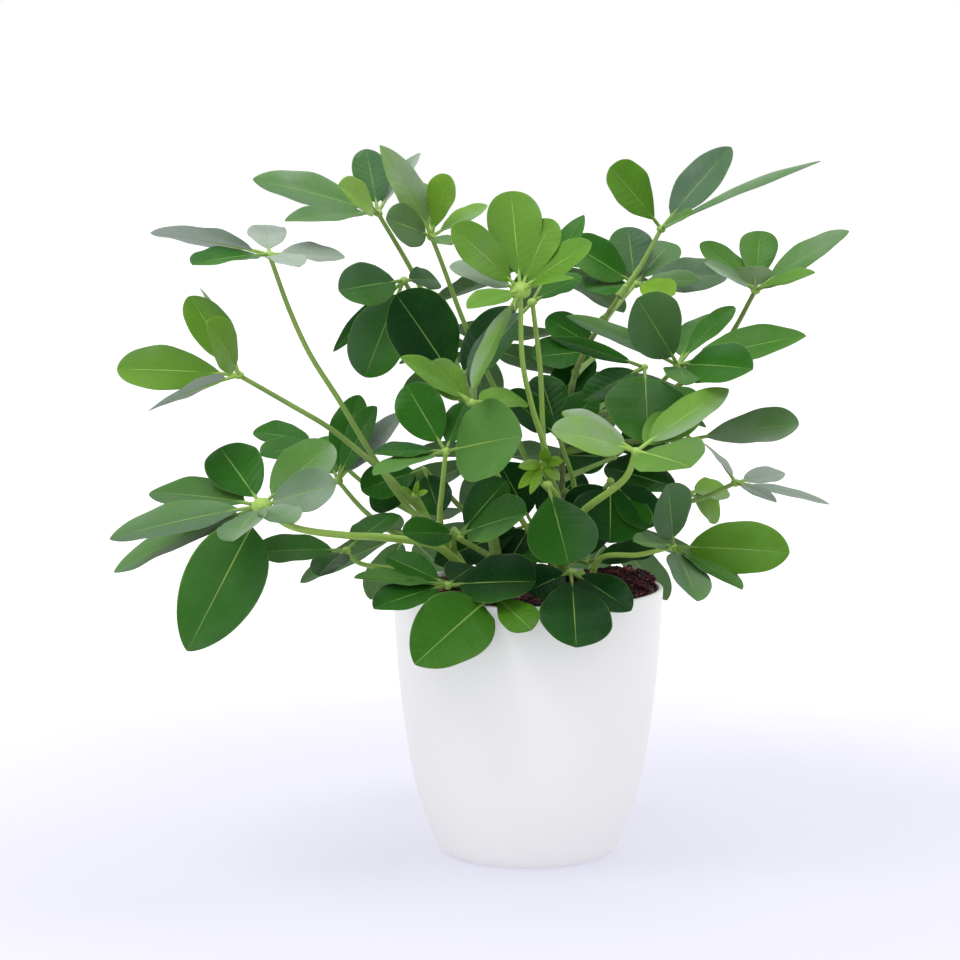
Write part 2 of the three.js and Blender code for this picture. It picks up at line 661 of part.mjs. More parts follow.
add('cover_pot', coverPotSolid(), POT_WHITE, 0.35);
add('grow_pot', growPotSolid(), GROW_POT_BROWN, 0.6);
add('soil', soilSolid(), SOIL_BROWN, 0.95);
for (const [name, stem] of Object.entries(STEMS)) {
  add(`stem_${name}`, stemWithTuft(stem), STEM_GREEN, 0.6);
}
for (const leaf of [...LEAVES, ...BACK_LEAVES]) {
  add(leaf.name, leafSolid(leaf), YOUNG_LEAVES.includes(leaf.name) ? YOUNG_GREEN : LEAF_GREEN, 0.4);
}

export default plant;
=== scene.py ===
"""Looks of a potted umbrella plant, built in the frame of its CAD part.

The plant was measured from the front of its photograph. A row gives each point as (across, up,
depth) in millimetres: where it shows on the upright plane through the pot's axis, and how far
behind that plane it is. Built sizes are in metres, with +Z up and -Y at the front.
"""

import logging
import math
from collections.abc import Callable, Iterable, Sequence
from dataclasses import dataclass, field
from enum import Enum
from typing import ClassVar

import bmesh
import bpy
from mathutils import Euler, Matrix, Vector


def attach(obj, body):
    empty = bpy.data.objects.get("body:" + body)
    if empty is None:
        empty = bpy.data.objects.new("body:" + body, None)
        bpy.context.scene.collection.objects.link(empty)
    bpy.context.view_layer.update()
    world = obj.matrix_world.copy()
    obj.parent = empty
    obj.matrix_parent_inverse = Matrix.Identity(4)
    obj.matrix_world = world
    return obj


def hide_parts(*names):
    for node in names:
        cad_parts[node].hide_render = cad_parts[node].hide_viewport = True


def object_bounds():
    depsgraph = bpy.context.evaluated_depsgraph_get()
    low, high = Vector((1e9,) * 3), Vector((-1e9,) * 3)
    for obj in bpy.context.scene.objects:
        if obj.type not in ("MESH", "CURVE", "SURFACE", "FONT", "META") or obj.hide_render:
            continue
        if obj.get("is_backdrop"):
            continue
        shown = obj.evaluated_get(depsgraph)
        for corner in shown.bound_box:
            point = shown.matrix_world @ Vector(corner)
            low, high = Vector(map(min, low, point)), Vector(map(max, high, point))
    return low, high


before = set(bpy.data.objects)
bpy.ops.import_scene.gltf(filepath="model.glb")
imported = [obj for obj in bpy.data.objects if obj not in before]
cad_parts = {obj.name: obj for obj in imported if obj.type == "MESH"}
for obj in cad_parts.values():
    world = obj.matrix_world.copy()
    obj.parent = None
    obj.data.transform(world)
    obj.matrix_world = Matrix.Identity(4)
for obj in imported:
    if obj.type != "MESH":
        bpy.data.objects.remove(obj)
cad_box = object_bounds()

log = logging.getLogger("umbrella_plant")

MM = 0.001
ROOT_BODY = "root"
USUAL_FOOT = 0.72

# Where the measuring eye stands, in millimetres: it brings each measured point to its true place.
EYE = Vector((-24.5, -1350.0, 341.5))

Measured = tuple[float, float, float]


def seen(point: Measured) -> Vector:
    """The true place of a measured point.

    Args:
        point: Across, up and depth in millimetres.

    Returns:
        The place in metres.
    """
    across, up, depth = point
    nearness = 1 + depth / -EYE.y
    return Vector((
        EYE.x + (across - EYE.x) * nearness,
        depth,
        EYE.z + (up - EYE.z) * nearness,
    )) * MM


def entry(row: Sequence[float], index: int, usual: float) -> float:
    """A row's number at an index, or the usual one where the row is shorter."""
    return row[index] if index < len(row) else usual


class Age(Enum):
    """How old a leaf is, from 0 for full-grown to 1 for newly opened."""

    MATURE = 0.0
    YOUNG = 1.0


class Part(Enum):
    """What a point of a shoot's outline stands for."""

    CHAIN = 0.0
    LEAFLET = 1.0
    HUB = 2.0


@dataclass(frozen=True)
class LeafRow:
    """One compound leaf: where its stalk leaves the stem, its hub and its leaflets.

    A tip is (across, up, depth, width), with an optional roll in degrees. A shade runs from -1 for
    a leaflet that looks dark to 1 for a bright one and 2 for a grey-sheened one, and a tint from -1
    for blue-grey to 1 for lime, in the order of the tips. A shade mixes the leaflet's own tone with
    painted light and shade: low shades darken leaflets that lie under others as painted shade, high
    ones brighten lit leaflets as painted light, and those near 2 turn to a painted grey sheen that
    stands in for reflection. A blue-grey tint is partly the leaflet's own grey-green and partly
    painted sheen. A foot's power makes a blade broad at its base (0.5) or near its end (1), the knot
    is the hub's radius in millimetres, ribs is how clearly the veins show, and the stalk runs from -1
    for olive brown to 1 for bright green; set low on inner leaves, it also paints their stalks and
    hubs darker as painted shade.
    """

    name: str
    stem: str
    at: float
    hub: Measured
    face: tuple[float, float, float]
    via: tuple[Measured, ...] = ()
    tips: tuple[tuple[float, ...], ...] = ()
    shades: tuple[float, ...] = ()
    tints: tuple[float, ...] = ()
    feet: tuple[float, ...] = ()
    girth: float = 1.0
    turn: float = 0.0
    knot: float = 2.5
    ribs: float = 0.34
    stalk: float = 0.4
    age: Age = Age.MATURE
    slot: ClassVar[dict[Age, str]] = {Age.MATURE: "leaf_mature", Age.YOUNG: "leaf_young"}


@dataclass(frozen=True)
class StemRow:
    """One leafy stem: its path, its radius at foot and tip, and the young tuft at its tip."""

    path: tuple[Measured, ...]
    radii: tuple[float, float]
    tuft: tuple[tuple[float, ...], ...] = ()
    bark: float = 0.4


STEMS = {
    "left": StemRow(
        path=((-22, 96, -4), (-25, 130, -6), (-35, 150, -9), (-49, 168, -11), (-58, 184, -12)),
        radii=(3.4, 2.2), bark=0.1,
        tuft=((-65, 189, -17, 3), (-56, 192, -20, 3), (-51, 187, -16, 3)),
    ),
    "centre": StemRow(
        path=((15, 96, 2), (15, 130, 0), (18, 160, -6), (15, 182, -14), (8, 201, -19)),
        radii=(3.4, 2.3), bark=0.0,
        tuft=(
            (-5, 188, -38, 6), (1, 185, -40, 5), (-5, 199, -36, 6), (18, 202, -34, 6),
            (9, 209, -30, 6), (16, 192, -38, 6),
        ),
    ),
    "right": StemRow(
        path=((22, 96, 27), (19, 135, 26), (17, 175, 24), (18, 210, 22), (25, 250, 22), (49, 291, 28)),
        radii=(2.6, 1.2), bark=0.85,
    ),
    "back": StemRow(
        path=((-12, 96, 30), (-14, 135, 31), (-20, 175, 33), (-28, 215, 34), (-34, 248, 34)),
        radii=(3.6, 2.2),
    ),
    "low": StemRow(
        path=((36, 96, -14), (34, 128, -16), (27, 144, -20)),
        radii=(2.8, 2.2),
    ),
}

# Each leaflet's shade and tint below hold its own tone together with painted shade, painted light and painted
# sheen.
LEAVES = (
    LeafRow("leaf_upper_left", stem="left", at=0.815, hub=(-131, 307, -20), face=(0, 0, 1), stalk=0.2,
        via=((-58, 175, -7), (-67, 186, -9), (-80, 206, -15), (-96, 233, -24), (-111, 257, -24),
        (-121, 279, -22)), tips=((-191, 318, -35, 25, 22), (-170, 302, -62, 24, -14), (-133, 322, 30, 20),
        (-93, 306, -5, 20, 26), (-116, 301, -58, 18, 7)), shades=(2.5, 0.3, 2.1, 2, 2),
        tints=(-0.5, -0.2, -0.4, -0.4)),
    LeafRow("leaf_left", age=Age.YOUNG, stem="left", at=0.92, hub=(-147, 246, -45), face=(0, -0.6, 0.8),
        stalk=-0.35, via=((-64, 186, -23), (-70, 193, -27), (-79, 201, -28), (-101, 219, -36),
        (-121, 231, -41)), tips=((-209, 249, -55, 26, -17), (-193, 228, -80, 16, 65), (-172, 286, -30, 22),
        (-163, 273, -90, 22, -79), (-166, 290, -5, 20, 64)), shades=(0.25, 1.8, -0.1, 0.9, 1),
        tints=(-0.1, 0, -0.15, 0.3), feet=(0.9, 0.5)),
    LeafRow("leaf_mid_left", stem="left", at=0.78, hub=(-97, 192, 15), face=(-0.2, -0.5, 0.8), stalk=0,
        via=((-58, 162, 0), (-70, 166, 4), (-84, 177, 10)), tips=((-86, 236, 25, 22), (-77, 230, 0, 20, 14),
        (-63, 227, 2, 16, 17), (-106, 214, 40, 20)), shades=(0.2, 0, 1.9, 0.8), tints=(0, 0, -0.5)),
    LeafRow("leaf_left_behind", stem="back", at=0.36, hub=(-106, 211, 55), face=(-0.2, 0, 1), knot=2,
        ribs=0.25, stalk=0.1, via=((-45, 168, 42), (-80, 188, 50)), tips=((-140, 217, 60, 22, -25),
        (-136, 205, 35, 20, -32), (-85, 216, 85, 22)), shades=(0.1, 0, 0.9)),
    LeafRow("leaf_lower_left", stem="left", at=0.545, hub=(-136, 179, -75), face=(0, -0.35, 0.94),
        girth=1.35, knot=5, stalk=1, via=((-46, 158, -22), (-75, 163, -42), (-93, 164, -55),
        (-122, 169, -71)), tips=((-214, 162, -85, 26, -8), (-193, 186, -45, 27, -7),
        (-212, 145, -62, 30, -3), (-157, 209, -40, 28, -19), (-100, 211, -55, 26, 21),
        (-98, 190, -85, 24, 36), (-151, 161, -118, 24, 20), (-175, 104, -108, 38, -34),
        (-120, 170, -112, 20, 3)), shades=(0.9, 0.7, 0.9, -0.2, 1, 1.3, 1.3, 0.2, 1.3),
        tints=(-0.6, -0.3, -0.3, 0, 0.1, -0.6, -0.4, -0.25, -0.5),
        feet=(0.72, 0.72, 0.72, 0.72, 0.72, 0.72, 0.72, 0.55)),
    LeafRow("leaf_left_below", stem="left", at=0.42, hub=(-93, 156, -35), face=(0, -0.2, 1),
        via=((-41, 139, -14), (-65, 146, -26), (-87, 150, -33)), tips=((-140, 155, -42, 23, -20),
        (-107, 143, -72, 18), (-68, 175, 5, 20)), shades=(-0.2, -0.6, 0)),
    LeafRow("leaf_low_left", stem="left", at=0.5, hub=(-41, 138, -50), face=(0, -0.25, 0.97),
        via=((-34, 142, -28),), tips=((-89, 142, -75, 18, -5), (-79, 126, -92, 22, -15),
        (-73, 153, -45, 22, -7), (4, 140, -66, 36, 22), (-28, 148, -24, 20, 10)),
        shades=(0.6, -0.5, -0.2, -0.6, -0.9)),
    LeafRow("leaf_front_low", stem="left", at=0.455, hub=(-18, 133, -60), face=(0.2, -0.7, 0.7), ribs=1,
        via=((-20, 143, -28),), tips=((-58, 97, -100, 37, -5), (2, 115, -86, 19, 14)), shades=(0.05, 0.2),
        tints=(0.15, 0.3), feet=(0.5, 1)),
    LeafRow("leaf_front_centre", stem="low", at=0.95, hub=(22, 145, -44), face=(0.1, -0.8, 0.6), ribs=0.15,
        tips=((25, 106, -100, 36), (53, 125, -76, 20, 6), (0, 135, -52, 22, 3)), shades=(-0.9, -1, -0.9),
        feet=(0.95,)),
    LeafRow("leaf_centre_left", stem="left", at=0.73, hub=(-42, 207, -62), face=(-0.2, -0.9, 0.4),
        stalk=0.9, via=((-45, 176, -28), (-44, 186, -42)), tips=((-3, 215, -95, 42), (-32, 232, -50, 14),
        (-62, 241, -48, 24), (-79, 206, -72, 16, 43), (-79, 195, -92, 18, 37)),
        shades=(0.8, -0.4, -0.1, -0.3, 0.8), tints=(-0.15, 0, 0, 0, 0.1), feet=(0.6,)),
    LeafRow("leaf_centre_front", stem="centre", at=0.78, hub=(10, 190, -50), face=(0, -0.8, 0.6),
        girth=1.35, stalk=1, via=((14, 185, -34),), tips=((21, 149, -72, 35),), shades=(-0.3,),
        tints=(-0.1,), feet=(0.9,)),
    LeafRow("leaf_centre_pair", stem="left", at=0.64, hub=(-35, 164, -48), face=(0, -0.8, 0.6),
        via=((-38, 167, -30),), tips=((-64, 165, -74, 18), (-1, 175, -88, 27), (-11, 192, -55, 22)),
        shades=(0, 0.1, -0.4)),
    LeafRow("leaf_right_front", age=Age.YOUNG, stem="centre", at=0.52, hub=(55, 207, -72),
        face=(0.1, -0.5, 0.85), girth=1.35, stalk=1, via=((26, 174, -36), (50, 194, -62)),
        tips=((12, 218, -95, 22, -19), (17, 227, -70, 18), (83, 199, -112, 36, 10), (102, 239, -58, 20),
        (85, 227, -35, 22)), shades=(1.3, 1.4, 0.5, 1.2, 0), tints=(0.35, 0.2, -0.35, 0.1)),
    LeafRow("leaf_centre_low", stem="right", at=0.4, hub=(42, 192, -12), face=(0.1, -0.8, 0.5), knot=2,
        ribs=0.25, stalk=0.1, via=((24, 170, 12),), tips=((42, 160, -28, 42, -6), (24, 169, -16, 26),
        (65, 169, -22, 22)), shades=(-0.7, -0.8, -0.7), feet=(0.6,)),
    LeafRow("leaf_lower_right", stem="low", at=0.8, hub=(74, 158, -55), face=(0.2, -0.6, 0.8), stalk=0.9,
        via=((37, 152, -28), (57, 154, -42)), tips=((134, 155, -75, 29, 26), (110, 136, -88, 18, -13),
        (87, 130, -105, 22, -10), (71, 190, -80, 25, -50), (54, 161, -82, 13)),
        shades=(0.35, 0.5, 1, 0.7, 0.6), tints=(0.35, -0.1, -0.6, -0.6)),
    LeafRow("leaf_right_small", stem="right", at=0.45, hub=(106, 191, 10), face=(0, -0.15, 1), stalk=-0.3,
        via=((45, 178, 24), (85, 182, 15)), tips=((131, 196, 35, 12, 31), (154, 180, 5, 9, 16),
        (127, 181, -30, 8, 16), (90, 211, 40, 12, 34)), shades=(2.6, 2.7, 2.6, 2.6),
        tints=(-0.4, -0.5, -0.5, -0.4)),
    LeafRow("leaf_right_behind", stem="right", at=0.36, hub=(82, 186, 50), face=(0, -0.3, 0.9), knot=2,
        ribs=0.25, stalk=0.1, via=((40, 175, 38),), tips=((102, 187, 62, 18, 19), (98, 174, 66, 18, 55),
        (39, 199, 62, 26, -21)), shades=(1, 1, -0.5), tints=(0.5, 0.5)),
    LeafRow("leaf_right_single", stem="right", at=0.55, hub=(82, 213, -5), face=(0, -0.5, 0.85), stalk=-0.5,
        via=((50, 212, 14),), tips=((138, 221, -25, 24, 14), (74, 240, 30, 24)), shades=(1.35, 0.3),
        tints=(-0.35,), feet=(1,)),
    LeafRow("leaf_right", stem="right", at=0.58, hub=(76, 251, -16), face=(0.1, -0.5, 0.85), stalk=-0.4,
        via=((54, 230, 6),), tips=((141, 266, -35, 27, 6), (114, 249, -75, 27, 38), (104, 281, 5, 16, -16),
        (91, 277, 40, 20, -27), (55, 285, -45, 31, -71), (19, 276, -38, 15, -9), (80, 241, -58, 20)),
        shades=(0.5, 0.2, 0.2, 0.6, 0.75, 0.8, 0.6), tints=(0.1, 0, 0, 0, -0.5, -0.5),
        feet=(0.6, 0.72, 1, 0.72, 0.8)),
    LeafRow("leaf_right_inner", stem="right", at=0.68, hub=(59, 250, 2), face=(0, -0.8, 0.6), knot=2,
        ribs=0.25, stalk=0.1, via=((38, 240, 14),), tips=((61, 211, -45, 44, -7), (28, 233, -22, 18),
        (11, 265, -12, 10)), shades=(0.3, -0.5, -0.3)),
    LeafRow("leaf_top_right", stem="right", at=0.97, hub=(67, 320, 35), face=(0, -0.5, 0.85), stalk=-0.3,
        via=((56, 300, 31),), tips=((41, 351, 25, 28, -20), (102, 361, 45, 22, 10), (147, 354, 20, 10, -4),
        (83, 328, 5, 12, 31)), shades=(0.1, 0.5, 1.15, 0.6), tints=(0.35, -0.75, -0.5, 0.2),
        feet=(0.95, 0.72)),
    LeafRow("leaf_upper_right", stem="right", at=0.62, hub=(115, 289, 15), face=(0, -0.3, 0.95), stalk=-0.6,
        via=((75, 240, 36), (100, 263, 26)), tips=((87, 313, 25, 19, -10), (117, 319, 30, 20),
        (162, 319, 5, 20, 18), (145, 298, -20, 12, 30), (114, 301, -30, 18), (89, 303, 0, 12, -26)),
        shades=(0.6, 0.8, 1, 0.7, 1.2, 1.4), tints=(0.15, 0.1, -0.2, 0.3, 0.3, -0.3), feet=(0.72, 0.95)),
    LeafRow("leaf_top_behind_right", stem="right", at=0.9, hub=(54, 292, 62), face=(0, -0.5, 0.85),
        tips=((50, 321, 75, 24), (72, 313, 88, 24), (87, 294, 38, 15, 14), (101, 297, 60, 26, 12),
        (20, 313, 55, 26, -25), (74, 287, 30, 16, 24), (29, 290, 48, 24)),
        shades=(0.7, 0.6, 1.2, 0.9, 0.2, 0.8, -0.1), tints=(-0.7, -0.5, -0.2, -0.8, 0, 0.8),
        feet=(0.72, 0.72, 0.72, 0.72, 0.72, 0.9)),
    LeafRow("leaf_top_left", stem="back", at=0.97, hub=(-76, 328, 30), face=(0, -0.25, 0.95), stalk=-0.35,
        via=((-45, 270, 36), (-59, 299, 38)), tips=((-139, 345, 20, 25, -27), (-123, 324, -15, 17, -16),
        (-96, 342, -30, 19, -70), (-82, 360, 50, 20), (-55, 358, 60, 18, -22)),
        shades=(1, 1.1, 0.7, 0.3, 1.3), tints=(-0.4, -0.4, 1, -0.5, -0.4)),
    LeafRow("leaf_top", age=Age.YOUNG, stem="centre", at=0.84, hub=(-49, 316, -5), face=(0, -0.4, 0.9),
        stalk=0, via=((3, 196, -2), (-12, 229, 2), (-31, 269, 0), (-45, 306, -4)),
        tips=((-75, 362, -20, 22, -24), (-40, 347, -15, 19, 23), (-72, 325, -40, 22, -63),
        (-53, 343, 25, 14), (-39, 312, -32, 15), (-21, 332, 5, 13, 5)), shades=(1.3, 0.8, 0.9, 0.3, 0.4, 1),
        tints=(0.35, 0.3, -0.7, -0.4, -0.5, 0.3), feet=(0.5, 0.95, 0.72, 0.72, 0.72, 0.9)),
    LeafRow("leaf_top_centre", age=Age.YOUNG, stem="centre", at=0.93, hub=(-4, 289, -55),
        face=(0, -0.6, 0.8), knot=5.2, stalk=0.9, via=((9, 207, -10), (2, 230, -30), (-3, 254, -46)),
        tips=((-9, 339, -45, 27), (-39, 321, -75, 22, -26), (12, 325, -50, 20), (32, 313, -65, 20, 7),
        (23, 295, -95, 10), (-31, 280, -100, 14, -5), (-28, 239, -85, 18, 41), (-40, 301, -62, 18, 3)),
        shades=(0.85, 0.8, 0.5, 0.2, 0.6, 0.7, 1.1, 1.5), tints=(-0.1, 0, 0, 0, 0, 0, 0, -0.5),
        feet=(0.9, 0.9, 0.85, 0.7, 0.7, 0.8)),
    LeafRow("leaf_top_behind", stem="centre", at=0.72, hub=(2, 283, -22), face=(0, -0.5, 0.85), stalk=0.8,
        via=((9, 202, -6), (6, 250, -10)), tips=((27, 296, -20, 16), (28, 327, 15, 14),
        (-30, 245, -30, 20)), shades=(0.2, 0.3, -0.8), tints=(0, 0, -0.5)),
    LeafRow("leaf_centre_right", stem="right", at=0.75, hub=(37, 258, 52), face=(-0.2, -0.7, 0.7), knot=2,
        ribs=0.25, stalk=0.1, tips=((2, 255, 40, 24), (9, 275, 55, 20), (14, 234, 42, 24)),
        shades=(-0.5, -0.3, -0.6)),
    LeafRow("leaf_upper_centre_left", stem="back", at=0.86, hub=(-63, 294, 5), face=(-0.3, -0.7, 0.7),
        via=((-48, 268, 22),), tips=((-96, 289, -25, 24, -41), (-46, 294, 28, 16, 32),
        (-83, 245, -12, 31, -16), (-99, 258, 20, 11, -13)), shades=(0.2, -0.6, 0, -0.4),
        tints=(-0.4, -0.4, -0.3)),
    LeafRow("leaf_centre_dark_left", stem="back", at=0.72, hub=(-36, 241, -18), face=(0, -0.8, 0.6), knot=2,
        ribs=0.25, stalk=0.1, via=((-32, 225, 8),), tips=((-67, 287, -38, 38, -5), (-9, 281, 5, 23, -9)),
        shades=(-0.9, -0.9)),
    LeafRow("leaf_centre_bright", age=Age.YOUNG, stem="centre", at=0.43, hub=(-29, 232, -60),
        face=(-0.2, -0.7, 0.7), stalk=0.8, via=((-5, 175, -22), (-20, 205, -40)), tips=((-65, 255, -85, 16),
        (-51, 251, -68, 20), (-2, 233, -34, 20)), shades=(0.8, 0.75, 0.4), tints=(-0.1, -0.05, 0)),
    # The dark inner leaves from here to leaf_deep_low fill the plant's shaded heart and the pot's mouth;
    # their shades near -1 are painted shade.
    LeafRow("leaf_centre_dark", stem="centre", at=0.6, hub=(16, 214, 8), face=(0, -0.7, 0.7), knot=1.7,
        ribs=0.2, stalk=0, via=((24, 185, 4),), tips=((-12, 236, 0, 22), (6, 246, 28, 22),
        (34, 236, 10, 20)), shades=(-0.8, -0.6, -0.4)),
    LeafRow("leaf_left_inner", stem="back", at=0.42, hub=(-53, 198, 24), face=(-0.2, -0.8, 0.5), knot=1.7,
        ribs=0.2, stalk=0, tips=((-85, 187, 12, 22), (-80, 178, 26, 20), (-45, 175, 10, 20)),
        shades=(-0.3, -0.5, -0.6)),
    LeafRow("leaf_centre_behind", stem="right", at=0.3, hub=(30, 150, 2), face=(0, -0.4, 0.9), knot=1.7,
        ribs=0.2, stalk=0, tips=((66, 156, -6, 24), (-2, 154, 26, 26), (36, 174, 32, 20)),
        shades=(-0.7, -0.8, -0.7)),
    LeafRow("leaf_deep_right", stem="right", at=0.48, hub=(44, 204, 50), face=(0, -0.8, 0.5), knot=1.7,
        ribs=0.2, stalk=0, tips=((18, 205, 42, 24), (70, 222, 58, 24)), shades=(-0.9, -0.7)),
    LeafRow("leaf_deep_low", stem="right", at=0.33, hub=(2, 170, 48), face=(0, -0.8, 0.5), knot=1.7,
        ribs=0.2, stalk=0, tips=((-48, 150, 53, 22), (-14, 200, 54, 28), (28, 196, 54, 28),
        (-12, 146, 44, 28)), shades=(-0.9, -0.9, -0.9, -0.9)),
    LeafRow("leaf_back_left", stem="back", at=0.8, hub=(-26, 262, 108), face=(-0.2, 0.5, 0.85), turn=30),
    LeafRow("leaf_back_top", stem="back", at=0.9, hub=(6, 304, 104), face=(0, 0.3, 0.95), turn=40),
    LeafRow("leaf_back_right", stem="right", at=0.6, hub=(48, 238, 122), face=(0.2, 0.5, 0.85), turn=55),
    LeafRow("leaf_back_centre", stem="back", at=0.5, hub=(-22, 205, 128), face=(0, 0.6, 0.8), turn=35),
    LeafRow("leaf_back_low_right", stem="right", at=0.25, hub=(42, 165, 98), face=(0.1, 0.6, 0.8), turn=50),
    LeafRow("leaf_back_low_left", stem="back", at=0.32, hub=(-62, 165, 99), face=(-0.2, 0.6, 0.8), turn=0),
)


class SmoothPath:
    """A smooth curve through points, which is walked by the share of its length."""

    STEPS_PER_SPAN = 40

    def __init__(self, places: Sequence[Vector]) -> None:
        """Lays the curve through the places.

        Args:
            places: Two or more places in metres.
        """
        ends = [places[0] * 2 - places[1], *places, places[-1] * 2 - places[-2]]
        self.line: list[Vector] = [places[0].copy()]
        for index in range(len(places) - 1):
            before, start, end, after = ends[index:index + 4]
            for step in range(1, self.STEPS_PER_SPAN + 1):
                self.line.append(self._between(before, start, end, after, step / self.STEPS_PER_SPAN))
        self.run: list[float] = [0.0]
        for here, there in zip(self.line, self.line[1:]):
            self.run.append(self.run[-1] + (there - here).length)

    @staticmethod
    def _between(before: Vector, start: Vector, end: Vector, after: Vector, share: float) -> Vector:
        """A point of the centripetal curve between start and end.

        Args:
            before: The place ahead of the span.
            start: The span's first place.
            end: The span's last place.
            after: The place beyond the span.
            share: Share of the span, from 0 to 1.

        Returns:
            The point.
        """
        gap_before = math.sqrt((start - before).length)
        gap = math.sqrt((end - start).length)
        gap_after = math.sqrt((after - end).length)
        leaving = ((start - before) / gap_before - (end - before) / (gap_before + gap)
                   + (end - start) / gap) * gap
        arriving = ((end - start) / gap - (after - start) / (gap + gap_after)
                    + (after - end) / gap_after) * gap
        squared = share * share
        cubed = squared * share
        return (start * (2 * cubed - 3 * squared + 1) + leaving * (cubed - 2 * squared + share)
                + end * (3 * squared - 2 * cubed) + arriving * (cubed - squared))

    @property
    def length(self) -> float:
        """The curve's length in metres."""
        return self.run[-1]

    def at(self, share: float) -> Vector:
        """The place at a share of the length.

        Args:
            share: From 0 at the start to 1 at the end.

        Returns:
            The place in metres.
        """
        goal = share * self.length
        for index in range(1, len(self.run)):
            if self.run[index] >= goal or index == len(self.run) - 1:
                step = self.run[index] - self.run[index - 1]
                part = (goal - self.run[index - 1]) / step if step else 0.0
                return self.line[index - 1].lerp(self.line[index], part)
        return self.line[-1].copy()

    def even(self, spacing: float) -> list[tuple[float, Vector]]:
        """Evenly spaced places along the curve, each after its share of the length."""
        count = max(4, round(self.length / spacing))
        return [(step / count, self.at(step / count)) for step in range(count + 1)]


Inputs = dict[str | int, object]


class Flow:
    """A number or a vector on its way through a node tree, with the usual arithmetic."""

    def __init__(self, wiring: "Wiring", socket: bpy.types.NodeSocket) -> None:
        """Holds one output socket."""
        self.wiring = wiring
        self.socket = socket

    @property
    def is_vector(self) -> bool:
        """Whether this is a vector."""
        return self.socket.type == "VECTOR"

    def number(self, operation: str, *others: "Flow | float") -> "Flow":
        """The result of a Math node on this and other numbers."""
        return self.wiring.maths(operation, self, *others)

    def vector(self, operation: str, *others: "Flow | Sequence[float]", out: str = "Vector") -> "Flow":
        """The result of a Vector Math node on this and other vectors."""
        inputs = dict(enumerate((self, *others)))
        return self.wiring.flow("ShaderNodeVectorMath", out, inputs, operation=operation)

    def __add__(self, other: "Flow | float") -> "Flow":
        """The sum of two numbers or two vectors."""
        return self.vector("ADD", other) if self.is_vector else self.number("ADD", other)

    def __sub__(self, other: "Flow | float") -> "Flow":
        """The difference of two numbers or two vectors."""
        return self.vector("SUBTRACT", other) if self.is_vector else self.number("SUBTRACT", other)

    def __mul__(self, other: "Flow | float") -> "Flow":
        """This number or vector times a number.

        Args:
            other: The number to multiply by.

        Returns:
            The product.
        """
        if not self.is_vector:
            return self.number("MULTIPLY", other)
        return self.wiring.flow("ShaderNodeVectorMath", 0, {0: self, "Scale": other}, operation="SCALE")

    __radd__ = __add__

    def __rsub__(self, other: float) -> "Flow":
        """A plain number less this one."""
        return self.wiring.maths("SUBTRACT", other, self)

    def __truediv__(self, other: "Flow | float") -> "Flow":
        """This number divided by another."""
        return self.number("DIVIDE", other)

    def __rtruediv__(self, other: float) -> "Flow":
        """A plain number divided by this one."""
        return self.wiring.maths("DIVIDE", other, self)

    def __pow__(self, other: "Flow | float") -> "Flow":
        """This number to a power."""
        return self.number("POWER", other)

    def unit(self) -> "Flow":
        """This vector at length 1."""
        return self.vector("NORMALIZE")

    def dot(self, other: "Flow") -> "Flow":
        """The dot product with another vector."""
        return self.vector("DOT_PRODUCT", other, out="Value")

    def cross(self, other: "Flow") -> "Flow":
        """The cross product with another vector."""
        return self.vector("CROSS_PRODUCT", other)

    def ramp(self, low: float, high: float, start: float = 0.0, end: float = 1.0) -> "Flow":
        """This number's smooth passage from one value to another.

        Args:
            low: Where the passage begins.
            high: Where it ends.
            start: What comes out at or below low.
            end: What comes out at or above high.

        Returns:
            The number that comes out.
        """
        return self.wiring.flow(
            "ShaderNodeMapRange", "Result",
            {"Value": self, "From Min": low, "From Max": high, "To Min": start, "To Max": end},
            interpolation_type="SMOOTHSTEP")


class Wiring:
    """Adds nodes to one node tree and links them."""

    def __init__(self, tree: bpy.types.NodeTree) -> None:
        """Starts on a tree."""
        self.tree = tree

    def add(self, kind: str, inputs: Inputs | None = None, **settings: object) -> bpy.types.Node:
        """Adds a node with its settings and inputs.

        Args:
            kind: The node's type.
            inputs: Input name or number to the value, Flow or socket that feeds it.
            settings: The node's own properties.

        Returns:
            The new node.
        """
        node = self.tree.nodes.new(kind)
        for name, value in settings.items():
            setattr(node, name, value)
        for key, value in (inputs or {}).items():
            self.feed(node.inputs[key], value)
        return node

    def feed(self, socket: bpy.types.NodeSocket, value: object) -> None:
        """Links or sets one input.

        Args:
            socket: The input socket.
            value: A Flow, an output socket or a plain value.
        """
        if isinstance(value, Flow):
            self.tree.links.new(value.socket, socket)
        elif isinstance(value, bpy.types.NodeSocket):
            self.tree.links.new(value, socket)
        else:
            socket.default_value = value

    def flow(self, kind: str, out: str | int = 0, inputs: Inputs | None = None, **settings: object) -> Flow:
        """Adds a node and gives one of its outputs."""
        return Flow(self, self.add(kind, inputs, **settings).outputs[out])

    def maths(self, operation: str, *numbers: Flow | float) -> Flow:
        """The result of a Math node on numbers, in their order."""
        return self.flow("ShaderNodeMath", 0, dict(enumerate(numbers)), operation=operation)

    def xyz(self, x: Flow | float, y: Flow | float, z: Flow | float) -> Flow:
        """A vector from three numbers."""
        return self.flow("ShaderNodeCombineXYZ", 0, {0: x, 1: y, 2: z})

    def split(self, vector: Flow) -> tuple[Flow, ...]:
        """The three numbers of a vector."""
        return tuple(Flow(self, number) for number in self.add("ShaderNodeSeparateXYZ", {0: vector}).outputs)


